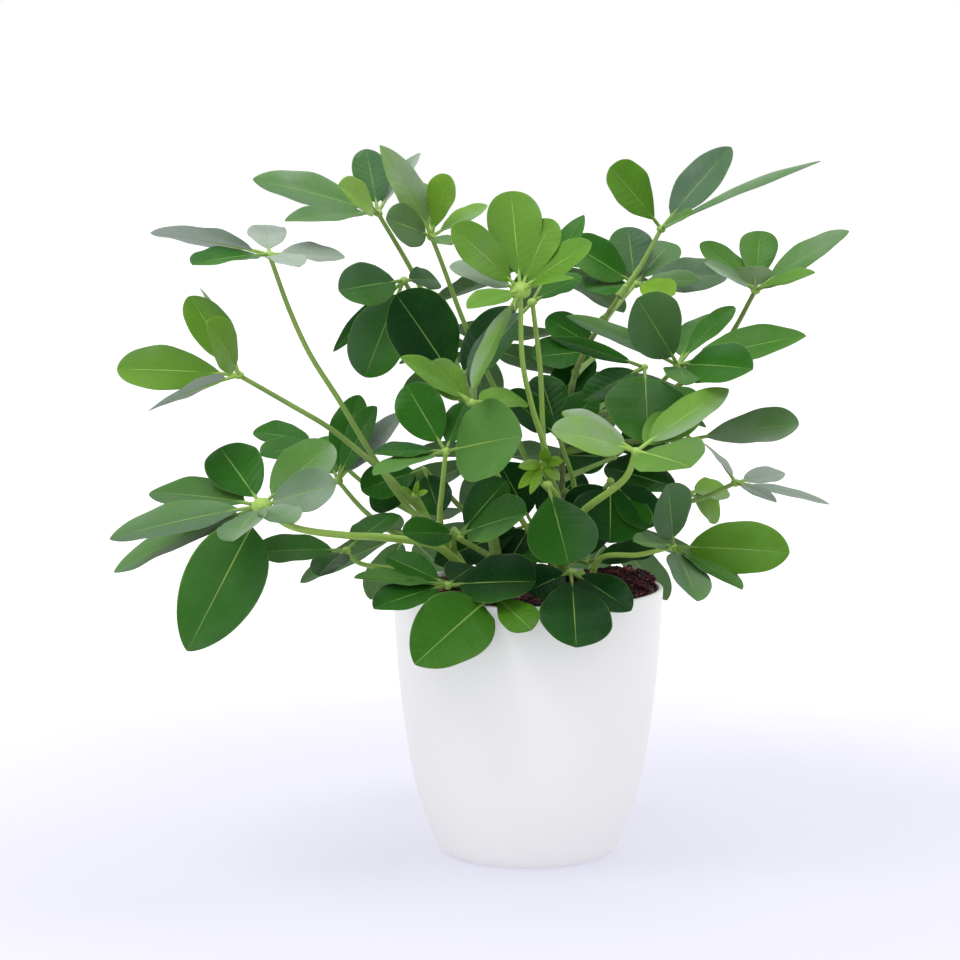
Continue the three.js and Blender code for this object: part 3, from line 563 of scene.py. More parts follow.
class ShapeTree(Wiring):
    """A Geometry Nodes tree with named inputs, which turns an outline mesh into a finished one."""

    def __init__(self, name: str) -> None:
        """Starts an empty tree.

        Args:
            name: The tree's name.
        """
        super().__init__(bpy.data.node_groups.new(name, "GeometryNodeTree"))
        self.keys: dict[str, str] = {}
        self.start = self.tree.nodes.new("NodeGroupInput")
        self.end = self.tree.nodes.new("NodeGroupOutput")
        self.given = self.take("Geometry", "NodeSocketGeometry")
        self.tree.interface.new_socket(name="Geometry", in_out="OUTPUT", socket_type="NodeSocketGeometry")

    def take(self, name: str, kind: str = "NodeSocketFloat") -> Flow:
        """Adds a named input to the tree.

        Args:
            name: The input's name.
            kind: Its socket type.

        Returns:
            The value that it brings.
        """
        item = self.tree.interface.new_socket(name=name, in_out="INPUT", socket_type=kind)
        self.keys[name] = item.identifier
        return Flow(self, self.start.outputs[name])

    def read(self, name: str, kind: str = "FLOAT") -> Flow:
        """A named attribute of the geometry."""
        return self.flow("GeometryNodeInputNamedAttribute", "Attribute", {"Name": name}, data_type=kind)

    def shape(self, kind: str, inputs: Inputs, **settings: object) -> bpy.types.NodeSocket:
        """Adds a node, whose kind is given without GeometryNode, and gives the shape that comes out."""
        return self.add("GeometryNode" + kind, inputs, **settings).outputs[0]

    def store(self, shape: object, name: str, value: object, domain: str = "POINT") -> bpy.types.NodeSocket:
        """Keeps a number on the points or instances of a shape under a name."""
        return self.shape("StoreNamedAttribute", {"Geometry": shape, "Name": name, "Value": value},
                          data_type="FLOAT", domain=domain)

    def only(self, shape: object, part: Part) -> bpy.types.NodeSocket:
        """The points of a shape that stand for one part.

        Args:
            shape: The geometry.
            part: The part that is wanted.

        Returns:
            The points with that part's number, and the edges between them.
        """
        same = self.flow("FunctionNodeCompare", 0, {0: self.read("part"), 1: part.value, "Epsilon": 0.1},
                         data_type="FLOAT", operation="EQUAL")
        return self.shape("SeparateGeometry", {0: shape, 1: same})

    def copies(self, places: object, form: object,
               scale: Flow | tuple[float, ...] = (1.0, 1.0, 1.0)) -> bpy.types.NodeSocket:
        """A form at every place, as geometry of its own."""
        spread = self.shape("InstanceOnPoints", {"Points": places, "Instance": form, "Scale": scale})
        return self.shape("RealizeInstances", {0: spread})

    def dressed(self, shape: object, finish: Flow) -> bpy.types.NodeSocket:
        """A shape that is smooth and wears a finish."""
        smooth = self.shape("SetShadeSmooth", {0: shape})
        return self.shape("SetMaterial", {"Geometry": smooth, "Material": finish})

    def join(self, *shapes: object) -> bpy.types.NodeSocket:
        """Several shapes as one.

        Args:
            shapes: What to join.

        Returns:
            The joined shape.
        """
        node = self.add("GeometryNodeJoinGeometry")
        for shape in shapes:
            self.feed(node.inputs[0], shape)
        return node.outputs[0]

    def close(self, shape: object) -> None:
        """Ends the tree with this shape."""
        self.feed(self.end.inputs[0], shape)

    def make(self, outline: bpy.types.Mesh, name: str, values: dict[str, object]) -> bpy.types.Object:
        """Runs the tree on an outline and keeps the plain mesh that comes out.

        Args:
            outline: The mesh that goes in. It is removed.
            name: The piece's name.
            values: Input name to value.

        Returns:
            The piece, at the origin, with no modifier.
        """
        draft = bpy.data.objects.new(name + "_draft", outline)
        bpy.context.scene.collection.objects.link(draft)
        modifier = draft.modifiers.new("shape", "NODES")
        modifier.node_group = self.tree
        for key, value in values.items():
            modifier[self.keys[key]] = value
        seen_by = bpy.context.evaluated_depsgraph_get()
        mesh = bpy.data.meshes.new_from_object(
            draft.evaluated_get(seen_by), preserve_all_data_layers=True, depsgraph=seen_by)
        draft.modifiers.remove(modifier)
        bpy.data.objects.remove(draft)
        bpy.data.meshes.remove(outline)
        mesh.name = name
        return piece_of(mesh, name)


def piece_of(mesh: bpy.types.Mesh, name: str) -> bpy.types.Object:
    """A shown object at the origin with this mesh.

    Args:
        mesh: The finished mesh.
        name: The piece's name.

    Returns:
        The new object.
    """
    piece = bpy.data.objects.new(name, mesh)
    bpy.context.scene.collection.objects.link(piece)
    return piece


@dataclass
class Outline:
    """The points and chains that a shoot's tree grows from, with what each point carries."""

    places: list[Vector] = field(default_factory=list)
    edges: list[tuple[int, int]] = field(default_factory=list)
    numbers: dict[str, list[float]] = field(default_factory=dict)
    vectors: dict[str, list[Vector]] = field(default_factory=dict)

    NUMBERS: ClassVar[tuple[str, ...]] = (
        "part", "radius", "ripe", "wide", "roll", "foot", "shade", "tint", "ribs", "age", "seed")
    VECTORS: ClassVar[tuple[str, ...]] = ("hub", "tip", "face")

    def point(self, place: Vector, part: Part, **carried: float | Vector) -> int:
        """Adds a point.

        Args:
            place: Where it is.
            part: What it stands for.
            carried: Attribute name to value; the rest are 0.

        Returns:
            The point's number.
        """
        carried["part"] = part.value
        self.places.append(place)
        for name in self.NUMBERS:
            self.numbers.setdefault(name, []).append(float(carried.get(name, 0.0)))
        for name in self.VECTORS:
            self.vectors.setdefault(name, []).append(Vector(carried.get(name, (0.0, 0.0, 0.0))))
        return len(self.places) - 1

    def chain(self, path: SmoothPath, spacing: float, radius: Callable[[float], float],
              ripe: Callable[[float], float], seed: float) -> None:
        """Adds a stalk or stem as a chain of points.

        Args:
            path: The curve that it follows.
            spacing: How far apart the points stand, in metres.
            radius: Radius in metres at a share of the length.
            ripe: How woody it is at a share of the length.
            seed: A number that sets its markings apart.
        """
        last = None
        for share, place in path.even(spacing):
            here = self.point(place, Part.CHAIN, radius=radius(share), ripe=ripe(share), seed=seed)
            if last is not None:
                self.edges.append((last, here))
            last = here

    def mesh(self, name: str) -> bpy.types.Mesh:
        """The outline as a mesh with its attributes.

        Args:
            name: The mesh's name.

        Returns:
            The mesh.
        """
        mesh = bpy.data.meshes.new(name + "_outline")
        mesh.from_pydata(self.places, self.edges, [])
        for key, values in self.numbers.items():
            mesh.attributes.new(key, "FLOAT", "POINT").data.foreach_set("value", values)
        for key, places in self.vectors.items():
            flat = [number for place in places for number in place]
            mesh.attributes.new(key, "FLOAT_VECTOR", "POINT").data.foreach_set("vector", flat)
        return mesh


class ShootTree(ShapeTree):
    """Grows blades, ribs, stalks and hubs from a shoot's outline."""

    # From which width to which, as a share of its length, a blade's tip turns from sharp to blunt
    SLIM = 0.25
    BROAD = 0.6
    TIP_POWER = 0.54
    SHARPER = 0.22
    # The waves of an edge: how many, how far the seed and the side shift them, and their height
    WAVES: ClassVar[tuple[tuple[float, ...], ...]] = ((9.0, 6.0, 1.1, 1.0), (19.0, 11.0, -0.7, 0.45))
    EDGE_CURL = 1.15
    VALLEY_DEPTH = 0.03
    VALLEYS_ACROSS = 5.0
    SEAM = 0.000004
    RIB_POINTS = 20
    RIB_END = 0.97
    RIB_SINK = 0.55
    RIB_WAIST = 0.62
    BALL_DETAIL = 4
    BALL_FLATNESS = 0.82
    BALL_GRAIN = 420.0
    BALL_LUMP = 0.0012

    def __init__(self) -> None:
        """Builds the tree with its inputs."""
        super().__init__("umbrella_shoot")
        self.sections = self.take("Sections along", "NodeSocketInt")
        self.lanes = self.take("Lanes across", "NodeSocketInt")
        self.sides = self.take("Stalk sides", "NodeSocketInt")
        self.stalklet_share = self.take("Stalklet share")
        self.arch = self.take("Arch share")
        self.fold = self.take("Fold rise")
        self.wave = self.take("Edge wave")
        self.thickness = self.take("Blade thickness")
        self.stalklet_radius = self.take("Stalklet radius")
        self.rib_radius = self.take("Rib tip radius")
        self.upper = self.take("Upper finish", "NodeSocketMaterial")
        self.under = self.take("Under finish", "NodeSocketMaterial")
        self.bark = self.take("Stalk finish", "NodeSocketMaterial")
        leaflets = self.only(self.given, Part.LEAFLET)
        self.close(self.join(
            self._blades(leaflets),
            self._sweep(self.join(self.only(self.given, Part.CHAIN), self._rib_lines(leaflets))),
            self._hubs(self.only(self.given, Part.HUB)),
        ))

    def _frame(self) -> tuple[Flow, Flow, Flow, Flow]:
        """The directions of a leaflet.

        Returns:
            The leaflet's span from hub to tip, its side, its normal and its length.
        """
        hub, tip, face = (self.read(name, "FLOAT_VECTOR") for name in Outline.VECTORS)
        span = tip - hub
        along = span.unit()
        flat = (face - along * face.dot(along)).unit()
        roll = self.read("roll")
        normal = flat * roll.number("COSINE") + along.cross(flat) * roll.number("SINE")
        return span, along.cross(normal), normal, span.vector("LENGTH", out="Value")

    def _middle(self, share: Flow) -> tuple[Flow, Flow, Flow]:
        """A point of the leaflet's arched middle line.

        Args:
            share: Share of the way from hub to tip.

        Returns:
            The place, the side direction and the normal.
        """
        span, side, normal, length = self._frame()
        rise = share * (1.0 - share) * length * self.arch * 4.0
        return self.read("hub", "FLOAT_VECTOR") + span * share + normal * rise, side, normal

    def _sheet(self, under: bool) -> bpy.types.NodeSocket:
        """One flat sheet with its share along and lane across kept on its points.

        Args:
            under: Whether it is the lower sheet.

        Returns:
            The sheet.
        """
        grid = self.shape("MeshGrid", {
            "Size X": 1.0, "Size Y": 1.0, "Vertices X": self.sections, "Vertices Y": self.lanes})
        x, y, _ = self.split(self.flow("GeometryNodeInputPosition"))
        quarter = (x + 0.5) * (math.pi / 2)
        sheet = self.store(grid, "along", quarter.number("SINE"))
        sheet = self.store(sheet, "lane", (y * -math.pi).number("SINE"))
        sheet = self.store(sheet, "skin", -1.0 if under else 1.0)
        if under:
            sheet = self.shape("FlipFaces", {0: sheet})
        return self.shape("SetMaterial", {"Geometry": sheet, "Material": self.under if under else self.upper})

    def _half_width(self, along: Flow, wide: Flow) -> Flow:
        """Half a blade's width at a share of its length.

        Args:
            along: The share, from 0 at the blade's foot to 1 at its tip.
            wide: The blade's greatest width.

        Returns:
            Half the width in metres.
        """
        foot, length = self.read("foot"), self._frame()[-1]
        slimness = (wide / length).ramp(self.SLIM, self.BROAD, 1.0, 0.0)
        point = (slimness * self.SHARPER + self.TIP_POWER) * ((USUAL_FOOT / foot) ** 0.5)
        widest = foot / (point + foot)
        fullest = (widest ** foot) * ((1.0 - widest) ** point) * 2.0
        return (along ** foot) * ((1.0 - along).number("MAXIMUM", 0.0) ** point) * wide / fullest

    def _blades(self, leaflets: object) -> bpy.types.NodeSocket:
        """The leaflets' blades, each a closed thin lens.

        Args:
            leaflets: A point for each.

        Returns:
            The blades.
        """
        blades = self.copies(leaflets, self.join(self._sheet(False), self._sheet(True)))
        along, lane, skin = self.read("along"), self.read("lane"), self.read("skin")
        wide, seed = self.read("wide"), self.read("seed")
        half = self._half_width(along, wide)
        spread, beside = lane.number("ABSOLUTE"), lane.number("SIGN")
        ripple = sum((along * count + seed * shift + beside * offset).number("SINE") * height
                     for count, shift, offset, height in self.WAVES)
        place, side, normal = self._middle(along * (1.0 - self.stalklet_share) + self.stalklet_share)
        bulge = (1.0 - spread * spread).number("MAXIMUM", 0.0) ** 0.5
        lift = half * (spread ** self.EDGE_CURL) * self.fold + half * spread * spread * ripple * self.wave
        valley = (spread * self.VALLEYS_ACROSS).number("MINIMUM", 1.0)
        lift = lift - (1.0 - valley) * half * self.VALLEY_DEPTH
        lift = lift + skin * bulge * self.thickness * 0.5
        blades = self.store(blades, "half", half)
        place = place + side * (lane * half) + normal * lift
        blades = self.shape("SetPosition", {"Geometry": blades, "Position": place})
        closed = self.shape("MergeByDistance", {"Geometry": blades, "Distance": self.SEAM})
        return self.shape("SetShadeSmooth", {0: closed})

    def _rib_lines(self, leaflets: object) -> bpy.types.NodeSocket:
        """The line of each stalklet and of the rib that runs on under its blade.

        Args:
            leaflets: One point for each leaflet.

        Returns:
            The lines, each with the radius to sweep it at.
        """
        line = self.shape("MeshLine", {
            "Count": self.RIB_POINTS, "Offset": (1 / (self.RIB_POINTS - 1), 0.0, 0.0)})
        share, _, _ = self.split(self.flow("GeometryNodeInputPosition"))
        lines = self.copies(leaflets, self.store(line, "along", share))
        share = self.read("along") * self.RIB_END
        place, _, normal = self._middle(share)
        blade = (share - self.stalklet_share).number("MAXIMUM", 0.0)
        rib = blade.ramp(0.0, 0.8, 1.0, 0.0) * (self.stalklet_radius - self.rib_radius) + self.rib_radius
        radius = blade.ramp(0.0, 0.06, 1.0, self.RIB_WAIST) * rib
        sunk = blade.ramp(0.0, 0.12) * rib * self.RIB_SINK
        lines = self.shape("SetPosition", {"Geometry": lines, "Position": place - normal * sunk})
        return self.store(lines, "radius", radius)

    def _sweep(self, lines: object) -> bpy.types.NodeSocket:
        """Round stalks along lines.

        Args:
            lines: The lines, each point with its radius.

        Returns:
            The stalks.
        """
        ring = self.shape("CurvePrimitiveCircle", {"Resolution": self.sides, "Radius": 1.0}, mode="RADIUS")
        tubes = self.shape("CurveToMesh", {
            "Curve": self.shape("MeshToCurve", {0: lines}), "Profile Curve": ring,
            "Scale": self.read("radius"), "Fill Caps": True})
        return self.dressed(tubes, self.bark)

    def _hubs(self, places: object) -> bpy.types.NodeSocket:
        """The swollen knot where the leaflets' stalks meet.

        Args:
            places: One point for each hub, with its radius.

        Returns:
            The knots.
        """
        ball = self.shape("MeshIcoSphere", {"Radius": 1.0, "Subdivisions": self.BALL_DETAIL})
        radius = self.read("radius")
        balls = self.copies(places, ball, self.xyz(radius, radius, radius * self.BALL_FLATNESS))
        noise = self.flow("ShaderNodeTexNoise", 0, {"Scale": self.BALL_GRAIN, "Detail": 2.0})
        bump = self.flow("GeometryNodeInputNormal") * ((noise - 0.5) * self.BALL_LUMP)
        return self.dressed(self.shape("SetPosition", {"Geometry": balls, "Offset": bump}), self.bark)


Colour = tuple[float, float, float]


def rgba(colour: Colour) -> tuple[float, float, float, float]:
    """A colour with full opacity."""
    return (*colour, 1.0)


class Paint(Wiring):
    """A material that is painted node by node on one Principled shader."""

    def __init__(self, name: str) -> None:
        """Starts a material.

        Args:
            name: The material's name.
        """
        self.material = bpy.data.materials.new(name)
        self.material.use_nodes = True
        super().__init__(self.material.node_tree)
        self.shader = next(node for node in self.tree.nodes if node.type == "BSDF_PRINCIPLED")
        self.output = next(node for node in self.tree.nodes if node.type == "OUTPUT_MATERIAL")

    def number(self, name: str) -> Flow:
        """A number that the mesh carries under a name."""
        return self.flow("ShaderNodeAttribute", "Fac", attribute_name=name, attribute_type="GEOMETRY")

    def place(self) -> Flow:
        """Object coordinates, in metres."""
        return self.flow("ShaderNodeTexCoord", "Object")

    def stretched(self, upright: float) -> Flow:
        """Object coordinates with their height scaled."""
        return self.flow("ShaderNodeMapping", 0, {"Vector": self.place(), "Scale": (1.0, 1.0, upright)})

    def noise(self, scale: float, detail: float = 3.0, where: Flow | None = None) -> Flow:
        """A cloudy pattern from 0 to 1; the scale is in features to the metre."""
        return self.flow("ShaderNodeTexNoise", "Fac", {
            "Vector": where or self.place(), "Scale": scale, "Detail": detail})

    def mix(self, share: Flow | float, first: object, second: object) -> Flow:
        """A colour between two.

        Args:
            share: 0 for the first and 1 for the second.
            first: A colour or a Flow.
            second: A colour or a Flow.

        Returns:
            The colour.
        """
        node = self.add("ShaderNodeMix", data_type="RGBA")
        self.feed(node.inputs[0], share)
        for socket, value in ((node.inputs[6], first), (node.inputs[7], second)):
            self.feed(socket, rgba(value) if isinstance(value, tuple) else value)
        return Flow(self, node.outputs[2])

    def relief(self, height: Flow, strength: float, distance: float) -> None:
        """Roughens the surface by a height, whose depth is the distance in metres."""
        bump = self.add("ShaderNodeBump", {"Height": height, "Strength": strength, "Distance": distance})
        self.feed(self.shader.inputs["Normal"], bump.outputs[0])

    def finish(self, colour: Flow, roughness: Flow | float, **sockets: object) -> bpy.types.Material:
        """Sets the shader's colour, roughness and other sockets.

        Args:
            colour: The base colour.
            roughness: From 0 to 1.
            sockets: Socket name, with _ for a space, to its value.

        Returns:
            The material.
        """
        self.feed(self.shader.inputs["Base Color"], colour)
        self.feed(self.shader.inputs["Roughness"], roughness)
        for name, value in sockets.items():
            self.feed(self.shader.inputs[name.replace("_", " ")], value)
        return self.material


@dataclass(frozen=True)
class BladeFinish:
    """A leathery leaf surface with its midrib, side veins, fine net and thin pale edge.

    Its colour also holds painted light: painted shade and light from each leaflet's shade, a painted
    grey sheen, and one half of each blade painted lighter than the other.
    """

    name: str
    # From dark to bright the colours follow each leaflet's shade: partly its own greens, partly painted shade
    # and painted light.
    dark: Colour
    middle: Colour
    bright: Colour
    young: Colour
    # The grey sheen colour below is a painted reflection, and the blue-grey after it is partly the leaf's own
    # grey-green, partly painted sheen.
    painted_sheen: Colour
    grey_tone_and_sheen: Colour
    lime: Colour
    vein: Colour
    roughness: float
    vein_strength: float
    relief_depth: float
    gloss: float
    translucence: float = 0.16
    pairs: float = 9.0

    # Features to the metre of each pattern
    CLOUDS = 38.0
    SWELL = 48.0
    MOTTLE = 90.0
    WOBBLE = 120.0
    RIPPLE = 150.0
    GRAIN = 420.0
    NET = 900.0
    SPECKS = 1500.0
    # How far each thing changes the tone, and how strongly a colour covers the one below it
    CLOUDINESS = 0.9
    # The difference between halves below is painted light: one half of a blade is lighter than the other, as
    # light falls across its fold.
    PAINTED_HALF_LIGHT = 0.3
    SEED_DIFFERENCE = 0.3
    LIME_COVER = 0.85
    # The sheen's cover below is how strongly the painted grey sheen covers a leaflet's colour.
    PAINTED_SHEEN_COVER = 0.9
    EDGE_COVER = 0.5
    SPECK_COVER = 0.14
    SIDE_VEIN_COVER = 0.16
    NET_COVER = 0.05
    # Half the midrib's width in metres, at the blade's foot, and how much it loses to the tip
    RIB_FOOT = 0.00068
    RIB_LOSS = 0.00038

    def _body(self, coat: Paint, lane: Flow, seed: Flow) -> Flow:
        """The blade's colour without its veins, with its painted shade, light and sheen.

        Args:
            coat: The material.
            lane: From -1 at one edge to 1 at the other.
            seed: The leaflet's own number.

        Returns:
            The colour.
        """
        clouds = coat.noise(self.CLOUDS)
        tint = coat.number("tint")
        # Painted light: one half of the blade is lighter and the other darker, as light falls across its
        # fold.
        painted_half_light = lane * (seed * 29.0).number("SINE") * self.PAINTED_HALF_LIGHT
        # The tone joins the leaflet's shade, which holds painted shade and light, with the painted half
        # light, clouds and seed.
        tone = (coat.number("shade") + painted_half_light + (clouds - 0.5) * self.CLOUDINESS
                + (seed - 0.5) * self.SEED_DIFFERENCE)
        colour = coat.mix(tone.ramp(-1.0, 0.0), self.dark, self.middle)
        colour = coat.mix(tone.ramp(0.0, 1.0), colour, self.bright)
        colour = coat.mix(coat.number("age") * (0.88 - clouds * 0.3), colour, self.young)
        colour = coat.mix(tint.ramp(0.0, 1.0) * self.LIME_COVER, colour, self.lime)
        # Blue-grey, partly the leaf's own and partly painted sheen, with more of it on the half painted
        # darker.
        colour = coat.mix((tint * -1.0 - painted_half_light + (clouds - 0.5) * 0.5).ramp(0.0, 1.2), colour, self.grey_tone_and_sheen)
        # Painted sheen: a shade above 0.9 turns the colour towards a grey that stands in for reflection.
        return coat.mix(tone.ramp(0.9, 2.0) * self.PAINTED_SHEEN_COVER, colour, self.painted_sheen)

    def _veins(self, coat: Paint, along: Flow, lane: Flow, spread: Flow) -> tuple[Flow, Flow, Flow]:
        """Where the midrib and the net of fine veins show, and how far a place is from a side vein.

        Args:
            coat: The material.
            along: From 0 at the blade's foot to 1 at its tip.
            lane: From -1 at one edge to 1 at the other.
            spread: From 0 at the midrib to 1 at an edge.

        Returns:
            The midrib, the net and the distance.
        """
        bend = (along - spread * 0.2 + spread * spread * 0.05) * self.pairs + lane.number("SIGN") * 0.17
        wobble = (coat.noise(self.WOBBLE, 2.0) - 0.5) * 0.3
        ridge = ((bend + wobble).number("FRACT") - 0.5).number("ABSOLUTE")
        off = spread * coat.number("half")
        midrib = (off / (along * -self.RIB_LOSS + self.RIB_FOOT)).ramp(0.5, 1.25, 1.0, 0.0)
        net = coat.flow("ShaderNodeTexVoronoi", "Distance", {"Vector": coat.place(), "Scale": self.NET},
                        feature="DISTANCE_TO_EDGE")
        return midrib, net.ramp(0.0, 0.12, 1.0, 0.0), ridge

    def paint(self) -> bpy.types.Material:
        """Makes the material.

        Returns:
            The material.
        """
        coat = Paint(self.name)
        along, lane, ribs = coat.number("along"), coat.number("lane"), coat.number("ribs")
        spread = lane.number("ABSOLUTE")
        colour = self._body(coat, lane, coat.number("seed"))
        midrib, fine, ridge = self._veins(coat, along, lane, spread)
        side_vein = ridge.ramp(0.0, 0.09, 1.0, 0.0) * spread.ramp(0.78, 0.98, 1.0, 0.0)
        seen_veins = midrib * ribs + side_vein * ribs * self.SIDE_VEIN_COVER + fine * self.NET_COVER
        veined = seen_veins.number("MINIMUM", 1.0) * self.vein_strength
        edge = spread.ramp(0.955, 0.995) * along.ramp(0.02, 0.2) * self.EDGE_COVER
        speck = coat.noise(self.SPECKS, 1.0).ramp(0.66, 0.75) * self.SPECK_COVER
        for cover in (veined, edge, speck):
            colour = coat.mix(cover, colour, self.vein)
        quilt = ridge.ramp(0.0, 0.35) * spread.ramp(0.75, 1.0, 1.0, 0.3)
        swell = coat.noise(self.SWELL, 1.0) * 7.0 + coat.noise(self.RIPPLE, 1.0) * 1.2
        height = quilt * 0.35 + (1.0 - midrib) * 0.5 + fine * 0.05 + coat.noise(self.GRAIN) * 0.2 + swell
        coat.relief(height, 0.6, self.relief_depth)
        rough = coat.noise(self.MOTTLE) * 0.14 + (self.roughness - 0.07) + veined * 0.1
        coat.finish(colour, rough, IOR=1.45, Specular_IOR_Level=self.gloss)
        glow = coat.add("ShaderNodeBsdfTranslucent", {"Color": coat.mix(0.55, colour, self.young)})
        both = coat.add("ShaderNodeMixShader", {
            0: self.translucence, 1: coat.shader.outputs[0], 2: glow.outputs[0]})
        coat.feed(coat.output.inputs["Surface"], both.outputs[0])
        return coat.material


@dataclass(frozen=True)
class StalkFinish:
    """Smooth green skin of stalks and stems, browner where it is woody, with pale pores."""

    name: str
    green: Colour
    fresh: Colour
    woody: Colour
    pore: Colour
    roughness: float

    # Features to the metre of each pattern
    CLOUDS = 70.0
    PATCHES = 160.0
    STREAKS = 700.0
    PORES = 1300.0

    def paint(self) -> bpy.types.Material:
        """Makes the material.

        Returns:
            The material.
        """
        coat = Paint(self.name)
        ripe, age, shade = coat.number("ripe"), coat.number("age"), coat.number("shade")
        streaks = coat.noise(self.STREAKS, 4.0, coat.stretched(0.25))
        colour = coat.mix(coat.noise(self.CLOUDS) * 0.7, self.green, self.fresh)
        colour = coat.mix((age * 0.9 + shade * 0.2).ramp(0.0, 1.0), colour, self.fresh)
        patches = (coat.noise(self.PATCHES) - 0.5) * 0.5
        colour = coat.mix((ripe + patches).ramp(0.25, 0.95), colour, self.woody)
        pores = coat.noise(self.PORES, 1.0).ramp(0.64, 0.72) * (ripe * 0.6 + 0.14)
        colour = coat.mix(pores, colour, self.pore)
        colour = coat.mix(streaks.ramp(0.5, 0.8) * 0.25, colour, self.woody)
        coat.relief(streaks * 0.6 + pores, 0.5, 0.0002)
        return coat.finish(colour, streaks * 0.2 + (self.roughness - 0.1), IOR=1.45)


@dataclass(frozen=True)
class PotFinish:
    """Satin moulded plastic, with faint clouding and a very fine grain."""

    name: str
    colour: Colour
    shadow: Colour
    roughness: float
    grain: float

    # Features to the metre of each pattern
    CLOUDS = 14.0
    DIMPLES = 55.0
    SPECKS = 900.0
    GRAIN = 2400.0

    def paint(self) -> bpy.types.Material:
        """Makes the material.

        Returns:
            The material.
        """
        coat = Paint(self.name)
        stretched = coat.stretched(3.0)
        clouds = coat.noise(self.CLOUDS, 4.0, stretched)
        specks = coat.noise(self.SPECKS, 2.0)
        colour = coat.mix(clouds * 0.5 + specks.ramp(0.6, 0.8) * 0.2, self.colour, self.shadow)
        dimples = coat.noise(self.DIMPLES, 2.0, stretched) * 0.7
        coat.relief(dimples + coat.noise(self.GRAIN, 2.0) * self.grain, 0.35, 0.00012)
        return coat.finish(colour, clouds * 0.08 + specks * 0.05 + (self.roughness - 0.06), IOR=1.48)


@dataclass(frozen=True)
class CompostFinish:
    """Red-brown bark crumbs, each a little different, with pale fibres."""

    name: str
    dark: Colour
    red: Colour
    pale: Colour

    # Features to the metre of each pattern
    GRAIN = 520.0
    FIBRES = 1400.0

    def paint(self) -> bpy.types.Material:
        """Makes the material.

        Returns:
            The material.
        """
        coat = Paint(self.name)
        chunk = coat.number("chunk")
        grain = coat.noise(self.GRAIN, 5.0)
        colour = coat.mix((chunk * 0.75 + (grain - 0.5) * 0.8 + 0.1).ramp(0.15, 0.85), self.dark, self.red)
        light = chunk.ramp(0.9, 0.97) * 0.75 + coat.noise(self.FIBRES, 3.0).ramp(0.62, 0.74) * 0.25
        colour = coat.mix(light, colour, self.pale)
        coat.relief(grain, 0.8, 0.0006)
        return coat.finish(colour, grain * 0.15 + 0.78, Specular_IOR_Level=0.3)


@dataclass(frozen=True)
class Fineness:
    """How finely a shoot is divided."""

    sections: int
    lanes: int
    sides: int


FINE = Fineness(sections=23, lanes=13, sides=12)


@dataclass(frozen=True)
class Finishes:
    """The finishes that the plant wears, as materials."""

    upper: bpy.types.Material
    under: bpy.types.Material
    stalk: bpy.types.Material


